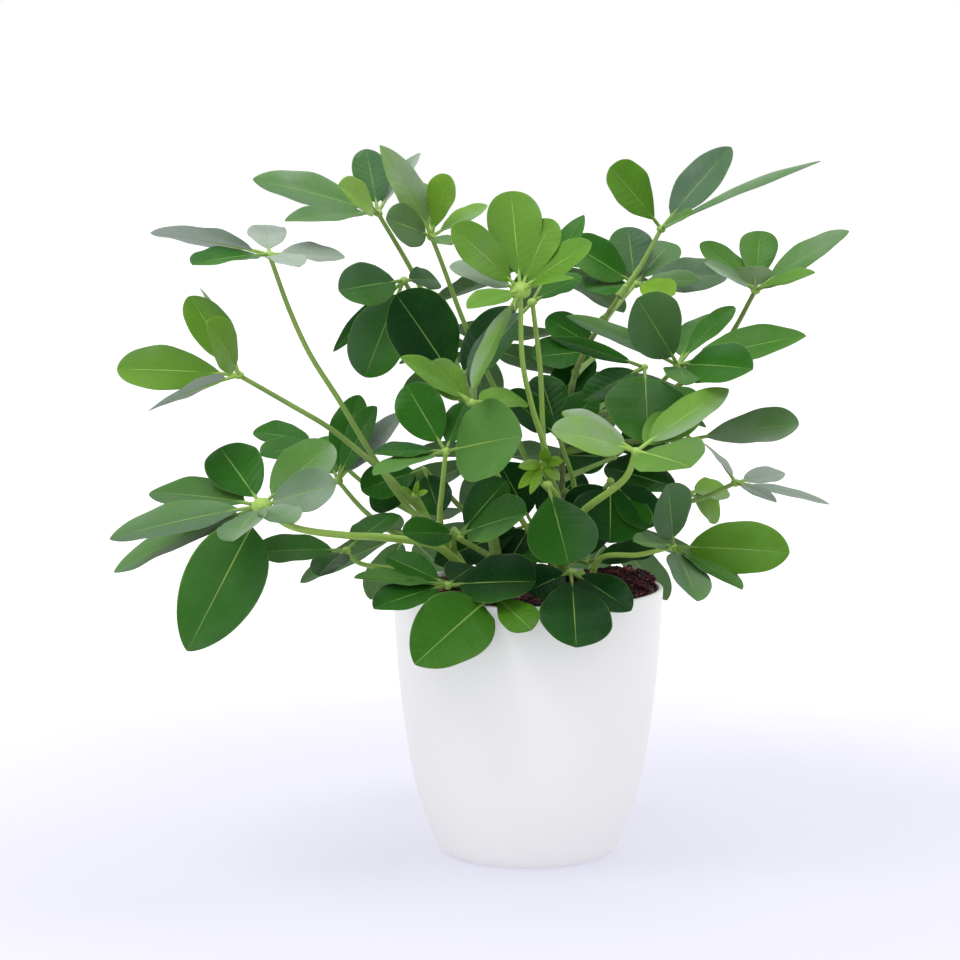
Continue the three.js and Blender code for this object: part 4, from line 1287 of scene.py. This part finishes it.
@dataclass
class Foliage:
    """The leafy stems and every leaf on them. Lengths are in metres."""

    finishes: Finishes
    stalklet_share: float = 0.14
    arch: float = 0.025
    fold: float = 0.16
    edge_wave: float = 0.055
    thickness: float = 0.55 * MM
    stalklet_radius: float = 0.95 * MM
    rib_radius: float = 0.2 * MM
    stalk_tip: float = 1.15 * MM
    stalk_taper: float = 0.45 * MM
    stalk_spacing: float = 2 * MM
    sheath: float = 2.1 * MM
    sheath_reach: float = 6 * MM
    stem_spacing: float = 0.8 * MM
    joint_spacing: float = 11 * MM
    fan_count: int = 6
    fan_length: float = 56 * MM
    fan_width: float = 0.44
    fan_droop: float = 0.3
    tuft_face: Vector = field(default_factory=lambda: Vector((0, -1, 0.3)).normalized())

    # What the tree reads from the outline, and no finish needs
    SPARE: ClassVar[tuple[str, ...]] = (
        "hub", "tip", "face", "roll", "foot", "wide", "skin", "part", "radius")
    # Steps that set the markings of one leaf, and of one leaflet, apart from the next
    LEAF_STEP = 0.37
    LEAFLET_STEP = 0.61
    STALK_STEP = 0.31
    STEM_SEED = 0.3

    def __post_init__(self) -> None:
        """Makes the tree and the stems' paths."""
        self.tree = ShootTree()
        self.paths = {name: SmoothPath([seen(point) for point in row.path]) for name, row in STEMS.items()}

    def build(self) -> Iterable[bpy.types.Object]:
        """Builds every stem and leaf.

        Returns:
            The pieces one by one, each riding on the plant.
        """
        for name, row in STEMS.items():
            yield self._stem(name, row)
        for number, leaf in enumerate(LEAVES):
            yield self._leaf(leaf, number)

    def _grow(self, outline: Outline, name: str) -> bpy.types.Object:
        """Runs the tree on an outline.

        Args:
            outline: The shoot's points and chains.
            name: The node that the piece stands for.

        Returns:
            The piece.
        """
        fineness = FINE
        piece = self.tree.make(outline.mesh(name), "fine_" + name, {
            "Sections along": fineness.sections,
            "Lanes across": fineness.lanes,
            "Stalk sides": fineness.sides,
            "Stalklet share": self.stalklet_share,
            "Arch share": self.arch,
            "Fold rise": self.fold,
            "Edge wave": self.edge_wave,
            "Blade thickness": self.thickness,
            "Stalklet radius": self.stalklet_radius,
            "Rib tip radius": self.rib_radius,
            "Upper finish": self.finishes.upper,
            "Under finish": self.finishes.under,
            "Stalk finish": self.finishes.stalk,
        })
        for spare in self.SPARE:
            if spare in piece.data.attributes:
                piece.data.attributes.remove(piece.data.attributes[spare])
        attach(piece, ROOT_BODY)
        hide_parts(name)
        return piece

    def _stem(self, name: str, row: StemRow) -> bpy.types.Object:
        """Builds a stem with the rings of its fallen leaves and its young tuft.

        Args:
            name: The stem's name.
            row: Its measures.

        Returns:
            The piece.
        """
        outline = Outline()
        path = self.paths[name]
        foot, top = row.radii
        ring_width, ring_height, tip_swelling = 0.09, 0.28, 0.35

        def radius(share: float) -> float:
            """The stem's radius, with a low ring at each joint.

            Args:
                share: Share of the stem's length.

            Returns:
                The radius in metres.
            """
            joint = (share * path.length / self.joint_spacing) % 1.0
            ring = math.exp(-((joint - 0.5) / ring_width) ** 2)
            return (foot + (top - foot) * share + ring_height * ring) * MM

        def ripe(share: float) -> float:
            """How brown the stem is: most at its foot."""
            return row.bark * (1.15 - 0.5 * share)

        outline.chain(path, self.stem_spacing, radius, ripe, self.STEM_SEED)
        tip = path.at(1.0)
        outline.point(tip, Part.HUB, radius=(top + tip_swelling) * MM, age=0.8)
        for number, (across, up, depth, width) in enumerate(row.tuft):
            outline.point(tip, Part.LEAFLET, hub=tip, tip=seen((across, up, depth)), face=self.tuft_face,
                          foot=USUAL_FOOT, wide=width * MM, age=Age.YOUNG.value, shade=1.0, tint=1.0,
                          seed=(number * self.LEAF_STEP) % 1.0)
        piece = self._grow(outline, "stem_" + name)
        return piece

    def _leaflets(self, leaf: LeafRow, hub: Vector, face: Vector) -> list[tuple[Vector, float, float]]:
        """Where a leaf's leaflets end.

        Args:
            leaf: The leaf's measures.
            hub: The place that its leaflets start from.
            face: The way that the leaf faces.

        Returns:
            The tip, width in metres and roll in radians of each.
        """
        if leaf.tips:
            return [(seen(tip[:3]), tip[3] * MM, math.radians(tip[4]) if len(tip) > 4 else 0.0)
                    for tip in leaf.tips]
        level = Vector((1, 0, 0))
        first = (level - face * level.dot(face)).normalized()
        fan = []
        for number in range(self.fan_count):
            angle = math.radians(leaf.turn) + math.tau * number / self.fan_count
            turned = Matrix.Rotation(angle, 3, face) @ first
            length = self.fan_length * (1 + 0.14 * math.sin(2.4 * number + leaf.turn))
            fan.append((hub + turned * length - face * self.fan_droop * length, self.fan_width * length, 0.0))
        return fan

    def _leaf(self, leaf: LeafRow, number: int) -> bpy.types.Object:
        """Builds one compound leaf.

        Args:
            leaf: The leaf's measures.
            number: Its number, which sets its markings apart.

        Returns:
            The piece.
        """
        outline = Outline()
        hub = seen(leaf.hub)
        face = Vector(leaf.face).normalized()
        path = SmoothPath([self.paths[leaf.stem].at(leaf.at), *map(seen, leaf.via), hub])
        fresh = max(leaf.stalk, 0.0)

        def radius(share: float) -> float:
            """The stalk's radius, flared to a sheath at its foot."""
            slim = leaf.girth * (self.stalk_tip + self.stalk_taper * (1 - share))
            return slim + (self.sheath - self.stalk_tip) * math.exp(-share * path.length / self.sheath_reach)

        def ripe(share: float) -> float:
            """How brown the stalk is: most at its foot."""
            return max(0.3 * math.exp(-share * 9), -leaf.stalk)

        outline.chain(path, self.stalk_spacing, radius, ripe, (number * self.STALK_STEP) % 1.0)
        outline.numbers["age"] = [fresh] * len(outline.places)
        # A low stalk number makes the hub and stalk darker too: on inner leaves this is painted shade.
        outline.point(hub, Part.HUB, radius=leaf.knot * MM, shade=0.8,
                      age=0.4 + 0.35 * fresh + 0.25 * leaf.age.value)
        for index, (tip, wide, roll) in enumerate(self._leaflets(leaf, hub, face)):
            outline.point(hub, Part.LEAFLET, hub=hub, tip=tip, face=face, wide=wide, roll=roll,
                          foot=entry(leaf.feet, index, USUAL_FOOT), shade=entry(leaf.shades, index, 0.0),
                          tint=entry(leaf.tints, index, 0.0), ribs=leaf.ribs, age=leaf.age.value,
                          seed=(number * self.LEAF_STEP + index * self.LEAFLET_STEP) % 1.0)
        piece = self._grow(outline, leaf.name)
        return piece


def turned_mesh(name: str, profile: Sequence[tuple[float, float]], sides: int) -> bpy.types.Mesh:
    """A closed round body from its profile.

    Args:
        name: The mesh's name.
        profile: Radius and height in millimetres, from the axis below to the axis above.
        sides: How many sides it is turned with.

    Returns:
        The mesh, smooth and facing outwards.
    """
    form = bmesh.new()
    rings = []
    for radius, height in ((radius * MM, height * MM) for radius, height in profile):
        if radius == 0:
            rings.append([form.verts.new((0, 0, height))])
            continue
        angles = (math.tau * side / sides for side in range(sides))
        rings.append([form.verts.new((radius * math.cos(a), radius * math.sin(a), height)) for a in angles])
    for here, there in zip(rings, rings[1:]):
        for side in range(sides):
            beside = (side + 1) % sides
            corners = [here[side % len(here)], here[beside % len(here)],
                       there[beside % len(there)], there[side % len(there)]]
            form.faces.new(list(dict.fromkeys(corners)))
    bmesh.ops.recalc_face_normals(form, faces=form.faces)
    for face in form.faces:
        face.smooth = True
    mesh = bpy.data.meshes.new(name)
    form.to_mesh(mesh)
    form.free()
    return mesh


def rounded(corners: Sequence[tuple[float, float, float]], steps: int = 5) -> list[tuple[float, float]]:
    """A profile whose corners are rounded.

    Args:
        corners: Radius, height and how far each corner's rounding reaches, in millimetres.
        steps: Points to a rounded corner, less one.

    Returns:
        The profile's points.
    """
    profile = []
    for index, (radius, height, reach) in enumerate(corners):
        here = Vector((radius, height))
        if reach == 0 or index in (0, len(corners) - 1):
            profile.append((radius, height))
            continue
        back = Vector(corners[index - 1][:2]) - here
        ahead = Vector(corners[index + 1][:2]) - here
        start = here + back.normalized() * min(reach, back.length * 0.49)
        end = here + ahead.normalized() * min(reach, ahead.length * 0.49)
        for step in range(steps + 1):
            share = step / steps
            point = start.lerp(here, share).lerp(here.lerp(end, share), share)
            profile.append((point.x, point.y))
    return profile


@dataclass
class CoverPot:
    """The smooth white pot, gently convex, with a rounded foot and rim. Measures are in millimetres."""

    finish: PotFinish
    outside: tuple[tuple[float, float], ...] = (
        (40, 0), (45.6, 2.4), (50.2, 12), (58.8, 40), (64.2, 74), (67.6, 108), (69.2, 137),
    )
    flat: float = 30.0
    wall: float = 2.6
    floor: float = 4.0
    floor_rounding: float = 3.0
    rim_height: float = 137.9
    rim_rounding: float = 0.9
    rim_steps: int = 8
    sides: int = 192
    steps: int = 54

    def _wall_line(self) -> list[tuple[float, float]]:
        """The outside of the wall as a smooth line.

        Returns:
            Radius and height in millimetres, from the foot to the rim.
        """
        points = [Vector(point) for point in self.outside]
        line = []
        for step in range(self.steps + 1):
            run = (len(points) - 1) * step / self.steps
            index = min(int(run), len(points) - 2)
            share = run - index
            start, end = points[index], points[index + 1]
            leaving = (end - points[max(index - 1, 0)]) * 0.5
            arriving = (points[min(index + 2, len(points) - 1)] - start) * 0.5
            point = ((start * 2 - end * 2 + leaving + arriving) * share ** 3
                     + (end * 3 - start * 3 - leaving * 2 - arriving) * share ** 2 + leaving * share + start)
            line.append((point.x, point.y))
        return line

    def build(self) -> bpy.types.Object:
        """Builds the pot.

        Returns:
            The piece.
        """
        line = self._wall_line()
        half_wall = self.wall / 2
        angles = (math.pi * step / self.rim_steps for step in range(1, self.rim_steps))
        rim = [(line[-1][0] - half_wall + half_wall * math.cos(angle),
                self.rim_height + self.rim_rounding * (math.sin(angle) - 1)) for angle in angles]
        inside = [(radius - self.wall, height) for radius, height in reversed(line)
                  if self.floor + 4 < height < self.rim_height - 1]
        corner = rounded([(0, self.floor, 0), (inside[-1][0] - 1.5, self.floor, self.floor_rounding),
                          (*inside[-1], 0)])
        outline = [(0, 0), (self.flat, 0), *line, *rim, *inside, *reversed(corner[1:-1]), (0, self.floor)]
        mesh = turned_mesh("fine_cover_pot", outline, self.sides)
        mesh.materials.append(self.finish.paint())
        piece = piece_of(mesh, "fine_cover_pot")
        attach(piece, ROOT_BODY)
        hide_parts("cover_pot")
        return piece


@dataclass
class GrowPot:
    """The thin brown nursery pot, with a rolled rim and drain holes. Measures are in millimetres."""

    finish: PotFinish
    foot_radius: float = 40.0
    top_radius: float = 63.0
    foot_height: float = 4.3
    top: float = 136.0
    wall: float = 1.4
    rim_width: float = 2.0
    rim_drop: float = 6.0
    edge: float = 0.8
    crease: float = 0.3
    lip: float = 1.0
    holes: int = 6
    hole_radius: float = 4.0
    hole_ring: float = 26.0
    hole_sides: int = 24
    drill_depth: float = 12.0
    sides: int = 144

    def _drain_tree(self) -> ShapeTree:
        """The tree that cuts the ring of drain holes.

        Returns:
            The tree.
        """
        tree = ShapeTree("drain_holes")
        count, ring = tree.take("Holes", "NodeSocketInt"), tree.take("Ring radius")
        radius, height = tree.take("Hole radius"), tree.take("Height")
        circle = tree.shape("MeshCircle", {"Vertices": count, "Radius": ring})
        drill = tree.shape("MeshCylinder", {
            "Vertices": self.hole_sides, "Radius": radius, "Depth": self.drill_depth * MM})
        drills = tree.shape("InstanceOnPoints", {"Points": circle, "Instance": drill})
        lifted = tree.shape("TranslateInstances", {0: drills, "Translation": tree.xyz(0.0, 0.0, height)})
        cutters = tree.shape("RealizeInstances", {0: lifted})
        tree.close(tree.shape("MeshBoolean", {"Mesh 1": tree.given, "Mesh 2": cutters},
                              operation="DIFFERENCE", solver="EXACT"))
        return tree

    def build(self) -> bpy.types.Object:
        """Builds the pot.

        Returns:
            The piece.
        """
        rim_foot = self.top - self.rim_drop
        rim_radius = self.top_radius + self.rim_width
        profile = rounded([
            (0, self.foot_height, 0),
            (self.foot_radius, self.foot_height, self.edge),
            (self.top_radius, rim_foot, self.crease),
            (rim_radius, rim_foot, self.crease),
            (rim_radius, self.top, self.lip),
            (self.top_radius - self.wall, self.top, self.edge),
            (self.foot_radius - self.wall, self.foot_height + self.wall, self.edge),
            (0, self.foot_height + self.wall, 0),
        ])
        mesh = turned_mesh("grow_pot_shell", profile, self.sides)
        piece = self._drain_tree().make(mesh, "fine_grow_pot", {
            "Holes": self.holes, "Ring radius": self.hole_ring * MM,
            "Hole radius": self.hole_radius * MM, "Height": self.foot_height * MM,
        })
        piece.data.materials.clear()
        piece.data.materials.append(self.finish.paint())
        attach(piece, ROOT_BODY)
        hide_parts("grow_pot")
        return piece


@dataclass(frozen=True)
class Bits:
    """One kind of bark bit: how thickly it lies, its seed, its sizes in millimetres and its detail."""

    label: str
    density: float
    seed: int
    smallest: Measured
    largest: Measured
    detail: int


CRUMBS = Bits("Crumbs to the square metre", 190000.0, 3, (0.5, 0.5, 0.4), (1.6, 1.4, 1.2), 1)
CHIPS = Bits("Chips to the square metre", 24000.0, 8, (1.6, 0.9, 0.5), (4.2, 2.2, 1.2), 2)


@dataclass
class Soil:
    """The bark compost: a root ball whose top is strewn with crumbs and chips.

    Measures are in millimetres. The drops are how far below the top its shoulder's two rings lie.
    """

    finish: CompostFinish
    kinds: tuple[Bits, ...] = (CRUMBS, CHIPS)
    bottom: float = 6.0
    bottom_radius: float = 38.6
    top: float = 133.5
    top_radius: float = 60.3
    lump: float = 2.2
    heap: float = 8.0
    heap_place: tuple[float, float] = (52.0, 22.0)
    heap_spread: float = 27.0
    spill: float = 5.0
    drops: tuple[float, float] = (3.0, 0.6)
    sides: int = 96
    rings: int = 26
    roughness: float = 1.3

    def heaped(self, x: float, y: float) -> float:
        """How far up the heap at the right a place is, from 0 to 1."""
        away = math.hypot(x - self.heap_place[0], y - self.heap_place[1])
        return math.exp(-0.5 * (away / self.heap_spread) ** 2)

    def height(self, x: float, y: float) -> float:
        """The lumpy top's height at a place."""
        lumps = math.sin(0.31 * x + 0.9) * math.cos(0.27 * y) + 0.7 * math.sin(0.53 * y - 0.21 * x)
        return self.top + 0.6 * self.lump * lumps + 0.02 * x + self.heap * self.heaped(x, y)

    def _ball(self) -> bpy.types.Mesh:
        """The root ball, which spills over the grow pot's rim where it is heaped.

        Returns:
            The mesh.
        """
        wall = [(self.bottom_radius, self.bottom), (self.top_radius - 0.6, self.top - 8)]
        wall += [(self.top_radius, self.top - drop) for drop in self.drops]
        inner = [(self.top_radius * (1 - ring / self.rings), self.top) for ring in range(self.rings)]
        profile = [(0, self.bottom), *wall, *inner, (0, self.top)]
        ball = turned_mesh("root_ball", profile, self.sides)
        shoulder = len(wall) - len(self.drops)
        for vertex in ball.vertices:
            ring = (vertex.index - 1) // self.sides
            if ring < shoulder:
                continue
            x, y = vertex.co.x / MM, vertex.co.y / MM
            spread = min(max((self.heaped(x, y) - 0.3) / 0.3, 0.0), 1.0) if ring > shoulder else 0.0
            outward = 1 + self.spill * spread / self.top_radius
            drop = self.drops[ring - shoulder] if ring < len(wall) else 0.0
            vertex.co.x, vertex.co.y = vertex.co.x * outward, vertex.co.y * outward
            vertex.co.z = (self.height(x, y) - drop) * MM
        return ball

    def _bits(self, tree: ShapeTree, kind: Bits, on_top: Flow) -> bpy.types.NodeSocket:
        """Strews one kind of bit over the top.

        Args:
            tree: The tree that it goes into.
            kind: The kind of bit.
            on_top: Whether a place looks upwards.

        Returns:
            The bits, each with a number of its own for its colour.
        """
        points = tree.shape("DistributePointsOnFaces", {
            "Mesh": tree.given, "Selection": on_top, "Density": tree.take(kind.label), "Seed": kind.seed})
        size, turn = (
            tree.flow("FunctionNodeRandomValue", 0, {0: low, 1: high, "Seed": kind.seed + step},
                      data_type="FLOAT_VECTOR")
            for low, high, step in (
                (Vector(kind.smallest) * MM, Vector(kind.largest) * MM, 20),
                ((-0.5, -0.5, 0.0), (0.5, 0.5, math.tau), 40),
            )
        )
        pebble = tree.shape("MeshIcoSphere", {"Radius": 1.0, "Subdivisions": kind.detail})
        noise = tree.flow("ShaderNodeTexNoise", "Color", {"Scale": 1.3, "Detail": 2.0})
        bump = noise.vector("SUBTRACT", (0.5, 0.5, 0.5)) * self.roughness
        copies = tree.shape("InstanceOnPoints", {
            "Points": points, "Instance": tree.shape("SetPosition", {"Geometry": pebble, "Offset": bump}),
            "Rotation": tree.flow("FunctionNodeEulerToRotation", 0, {0: turn}), "Scale": size})
        each = tree.flow("FunctionNodeRandomValue", 1, {2: 0.0, 3: 1.0, "Seed": kind.seed + 60},
                         data_type="FLOAT")
        return tree.shape("RealizeInstances", {0: tree.store(copies, "chunk", each, "INSTANCE")})

    def _tree(self) -> ShapeTree:
        """The tree that strews crumbs and chips over the top.

        Returns:
            The tree.
        """
        tree = ShapeTree("bark_compost")
        _, _, upward = tree.split(tree.flow("GeometryNodeInputNormal"))
        on_top = upward.number("GREATER_THAN", 0.5)
        strewn = [tree.store(tree.given, "chunk", 0.25)]
        strewn += [self._bits(tree, kind, on_top) for kind in self.kinds]
        tree.close(tree.dressed(tree.join(*strewn), tree.take("Finish", "NodeSocketMaterial")))
        return tree

    def build(self) -> bpy.types.Object:
        """Builds the soil.

        Returns:
            The piece.
        """
        densities = {kind.label: kind.density for kind in self.kinds}
        piece = self._tree().make(self._ball(), "fine_soil", {**densities, "Finish": self.finish.paint()})
        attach(piece, ROOT_BODY)
        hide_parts("soil")
        return piece


@dataclass(frozen=True)
class Lamp:
    """A square lamp: its name, place and side in metres, and power in watts."""

    name: str
    place: tuple[float, float, float]
    side: float
    power: float


@dataclass
class Studio:
    """A pale floor, soft light and the camera at the photograph's angle. Lengths are in metres.

    The floor is painted with shadow near the pot and glows to lighten the shadows that fall on it.
    """

    eye: tuple[float, float, float] = (-0.0245, -1.350, 0.3415)
    look_down: float = 6.3
    lens: float = 99.8
    lamps: tuple[Lamp, ...] = (
        Lamp("key", (-0.9, -0.7, 2.0), 0.9, 22.0),
        Lamp("top", (0.4, 0.3, 2.1), 1.0, 14.0),
    )
    aim: tuple[float, float, float] = (0.0, 0.0, 0.18)
    # Painted shadow: the floor colour near the pot is a darker lavender, which fades to the far colour.
    floor_shadow_colour: Colour = (0.66, 0.655, 0.745)
    far_colour: Colour = (0.985, 0.985, 0.985)
    # The floor's glow is painted light: it lightens the shadows that fall on the floor.
    floor_glow: float = 0.7
    floor_reach: float = 30.0

    def build(self) -> None:
        """Sets up the floor, the lights, the sky and the camera."""
        scene = bpy.context.scene
        self._floor()
        for lamp in self.lamps:
            self._light(lamp)
        world = bpy.data.worlds.new("soft_room")
        world.use_nodes = True
        sky = world.node_tree.nodes["Background"]
        sky.inputs["Color"].default_value = (1.0, 1.0, 1.0, 1.0)
        sky.inputs["Strength"].default_value = 1.0
        scene.world = world
        scene.view_settings.view_transform = "Standard"
        camera = bpy.data.cameras.new("camera")
        camera.sensor_width = 36.0
        camera.lens = self.lens
        holder = bpy.data.objects.new("camera", camera)
        holder.location = self.eye
        holder.rotation_euler = Euler((math.radians(90 - self.look_down), 0.0, 0.0))
        scene.collection.objects.link(holder)
        scene.camera = holder

    def _light(self, lamp: Lamp) -> None:
        """Adds a lamp that points at the plant.

        Args:
            lamp: Its measures.
        """
        light = bpy.data.lights.new(lamp.name, "AREA")
        light.size = lamp.side
        light.energy = lamp.power
        holder = bpy.data.objects.new(lamp.name, light)
        holder.location = lamp.place
        holder.rotation_euler = (Vector(lamp.place) - Vector(self.aim)).to_track_quat("Z", "Y").to_euler()
        bpy.context.scene.collection.objects.link(holder)

    def _floor(self) -> None:
        """Lays the floor, painted with shadow near the pot and glowing to lighten its shadows."""
        paint = Paint("pale_floor")
        # Painted shadow: lavender near the pot, turning white between 0.3 and 1.1 metres from its axis.
        reach = paint.place().vector("LENGTH", out="Value") + paint.noise(3.0, 2.0) * 0.2
        colour = paint.mix(reach.ramp(0.3, 1.1), self.floor_shadow_colour, self.far_colour)
        # Painted light: most of the floor's brightness is its own glow, which lightens the shadows on it.
        paint.finish(paint.mix(self.floor_glow, colour, (0.0, 0.0, 0.0)), 0.8, Emission_Color=colour,
                     Emission_Strength=self.floor_glow * 1.25, Specular_IOR_Level=0.2)
        form = bmesh.new()
        bmesh.ops.create_grid(form, x_segments=1, y_segments=1, size=self.floor_reach)
        mesh = bpy.data.meshes.new("floor")
        form.to_mesh(mesh)
        form.free()
        mesh.materials.append(paint.material)
        piece_of(mesh, "floor")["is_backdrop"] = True


# Below, the dark to bright greens are partly painted shade and light, the sheen colour is a painted grey
# reflection, and the blue-grey is partly painted sheen.
UPPER = BladeFinish(
    name="leaf_upper", dark=(0.001, 0.036, 0.004), middle=(0.02, 0.118, 0.006), bright=(0.085, 0.215, 0.04),
    young=(0.145, 0.31, 0.03), painted_sheen=(0.33, 0.39, 0.345), grey_tone_and_sheen=(0.09, 0.145, 0.105), lime=(0.24, 0.46, 0.03),
    vein=(0.2, 0.38, 0.09), roughness=0.36, vein_strength=0.5, relief_depth=0.0003, gloss=0.13,
)
UNDER = BladeFinish(
    name="leaf_under", dark=(0.05, 0.12, 0.04), middle=(0.09, 0.19, 0.06), bright=(0.16, 0.28, 0.1),
    young=(0.2, 0.38, 0.08), painted_sheen=(0.4, 0.46, 0.42), grey_tone_and_sheen=(0.14, 0.19, 0.15), lime=(0.26, 0.44, 0.06),
    vein=(0.33, 0.46, 0.2), roughness=0.55, vein_strength=0.7, relief_depth=0.0004, gloss=0.12,
)
STALK = StalkFinish(
    name="stalk_skin", green=(0.1, 0.2, 0.03), fresh=(0.29, 0.46, 0.08), woody=(0.062, 0.072, 0.018),
    pore=(0.22, 0.26, 0.1), roughness=0.5,
)
POT_WHITE = PotFinish(
    name="white_plastic", colour=(0.87, 0.87, 0.85), shadow=(0.84, 0.84, 0.825), roughness=0.34, grain=0.3,
)
POT_BROWN = PotFinish(
    name="brown_plastic", colour=(0.13, 0.045, 0.035), shadow=(0.09, 0.03, 0.025), roughness=0.6, grain=0.6,
)
COMPOST = CompostFinish(
    name="bark_compost", dark=(0.012, 0.003, 0.005), red=(0.15, 0.025, 0.038), pale=(0.42, 0.17, 0.18),
)


def main() -> None:
    """Builds the studio, then the plant piece by piece, and works out the two boxes."""
    logging.basicConfig(level=logging.INFO, format="%(message)s")
    Studio().build()
    for part in (CoverPot(POT_WHITE), GrowPot(POT_BROWN), Soil(COMPOST)):
        report(part.build())
    finishes = Finishes(UPPER.paint(), UNDER.paint(), STALK.paint())
    for piece in Foliage(finishes).build():
        report(piece)
    keep_sizes()


def report(piece: bpy.types.Object) -> None:
    """Logs a piece with its number of faces."""
    log.info("%s: %d faces", piece.name, len(piece.data.polygons))


def keep_sizes() -> None:
    """Works out the finished plant's box and sets it beside the CAD box; nothing is kept."""
    boxes = {"cad": cad_box, "visual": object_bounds()}
    {name: [list(corner) for corner in box] for name, box in boxes.items()}


if __name__ == "__main__":
    main()
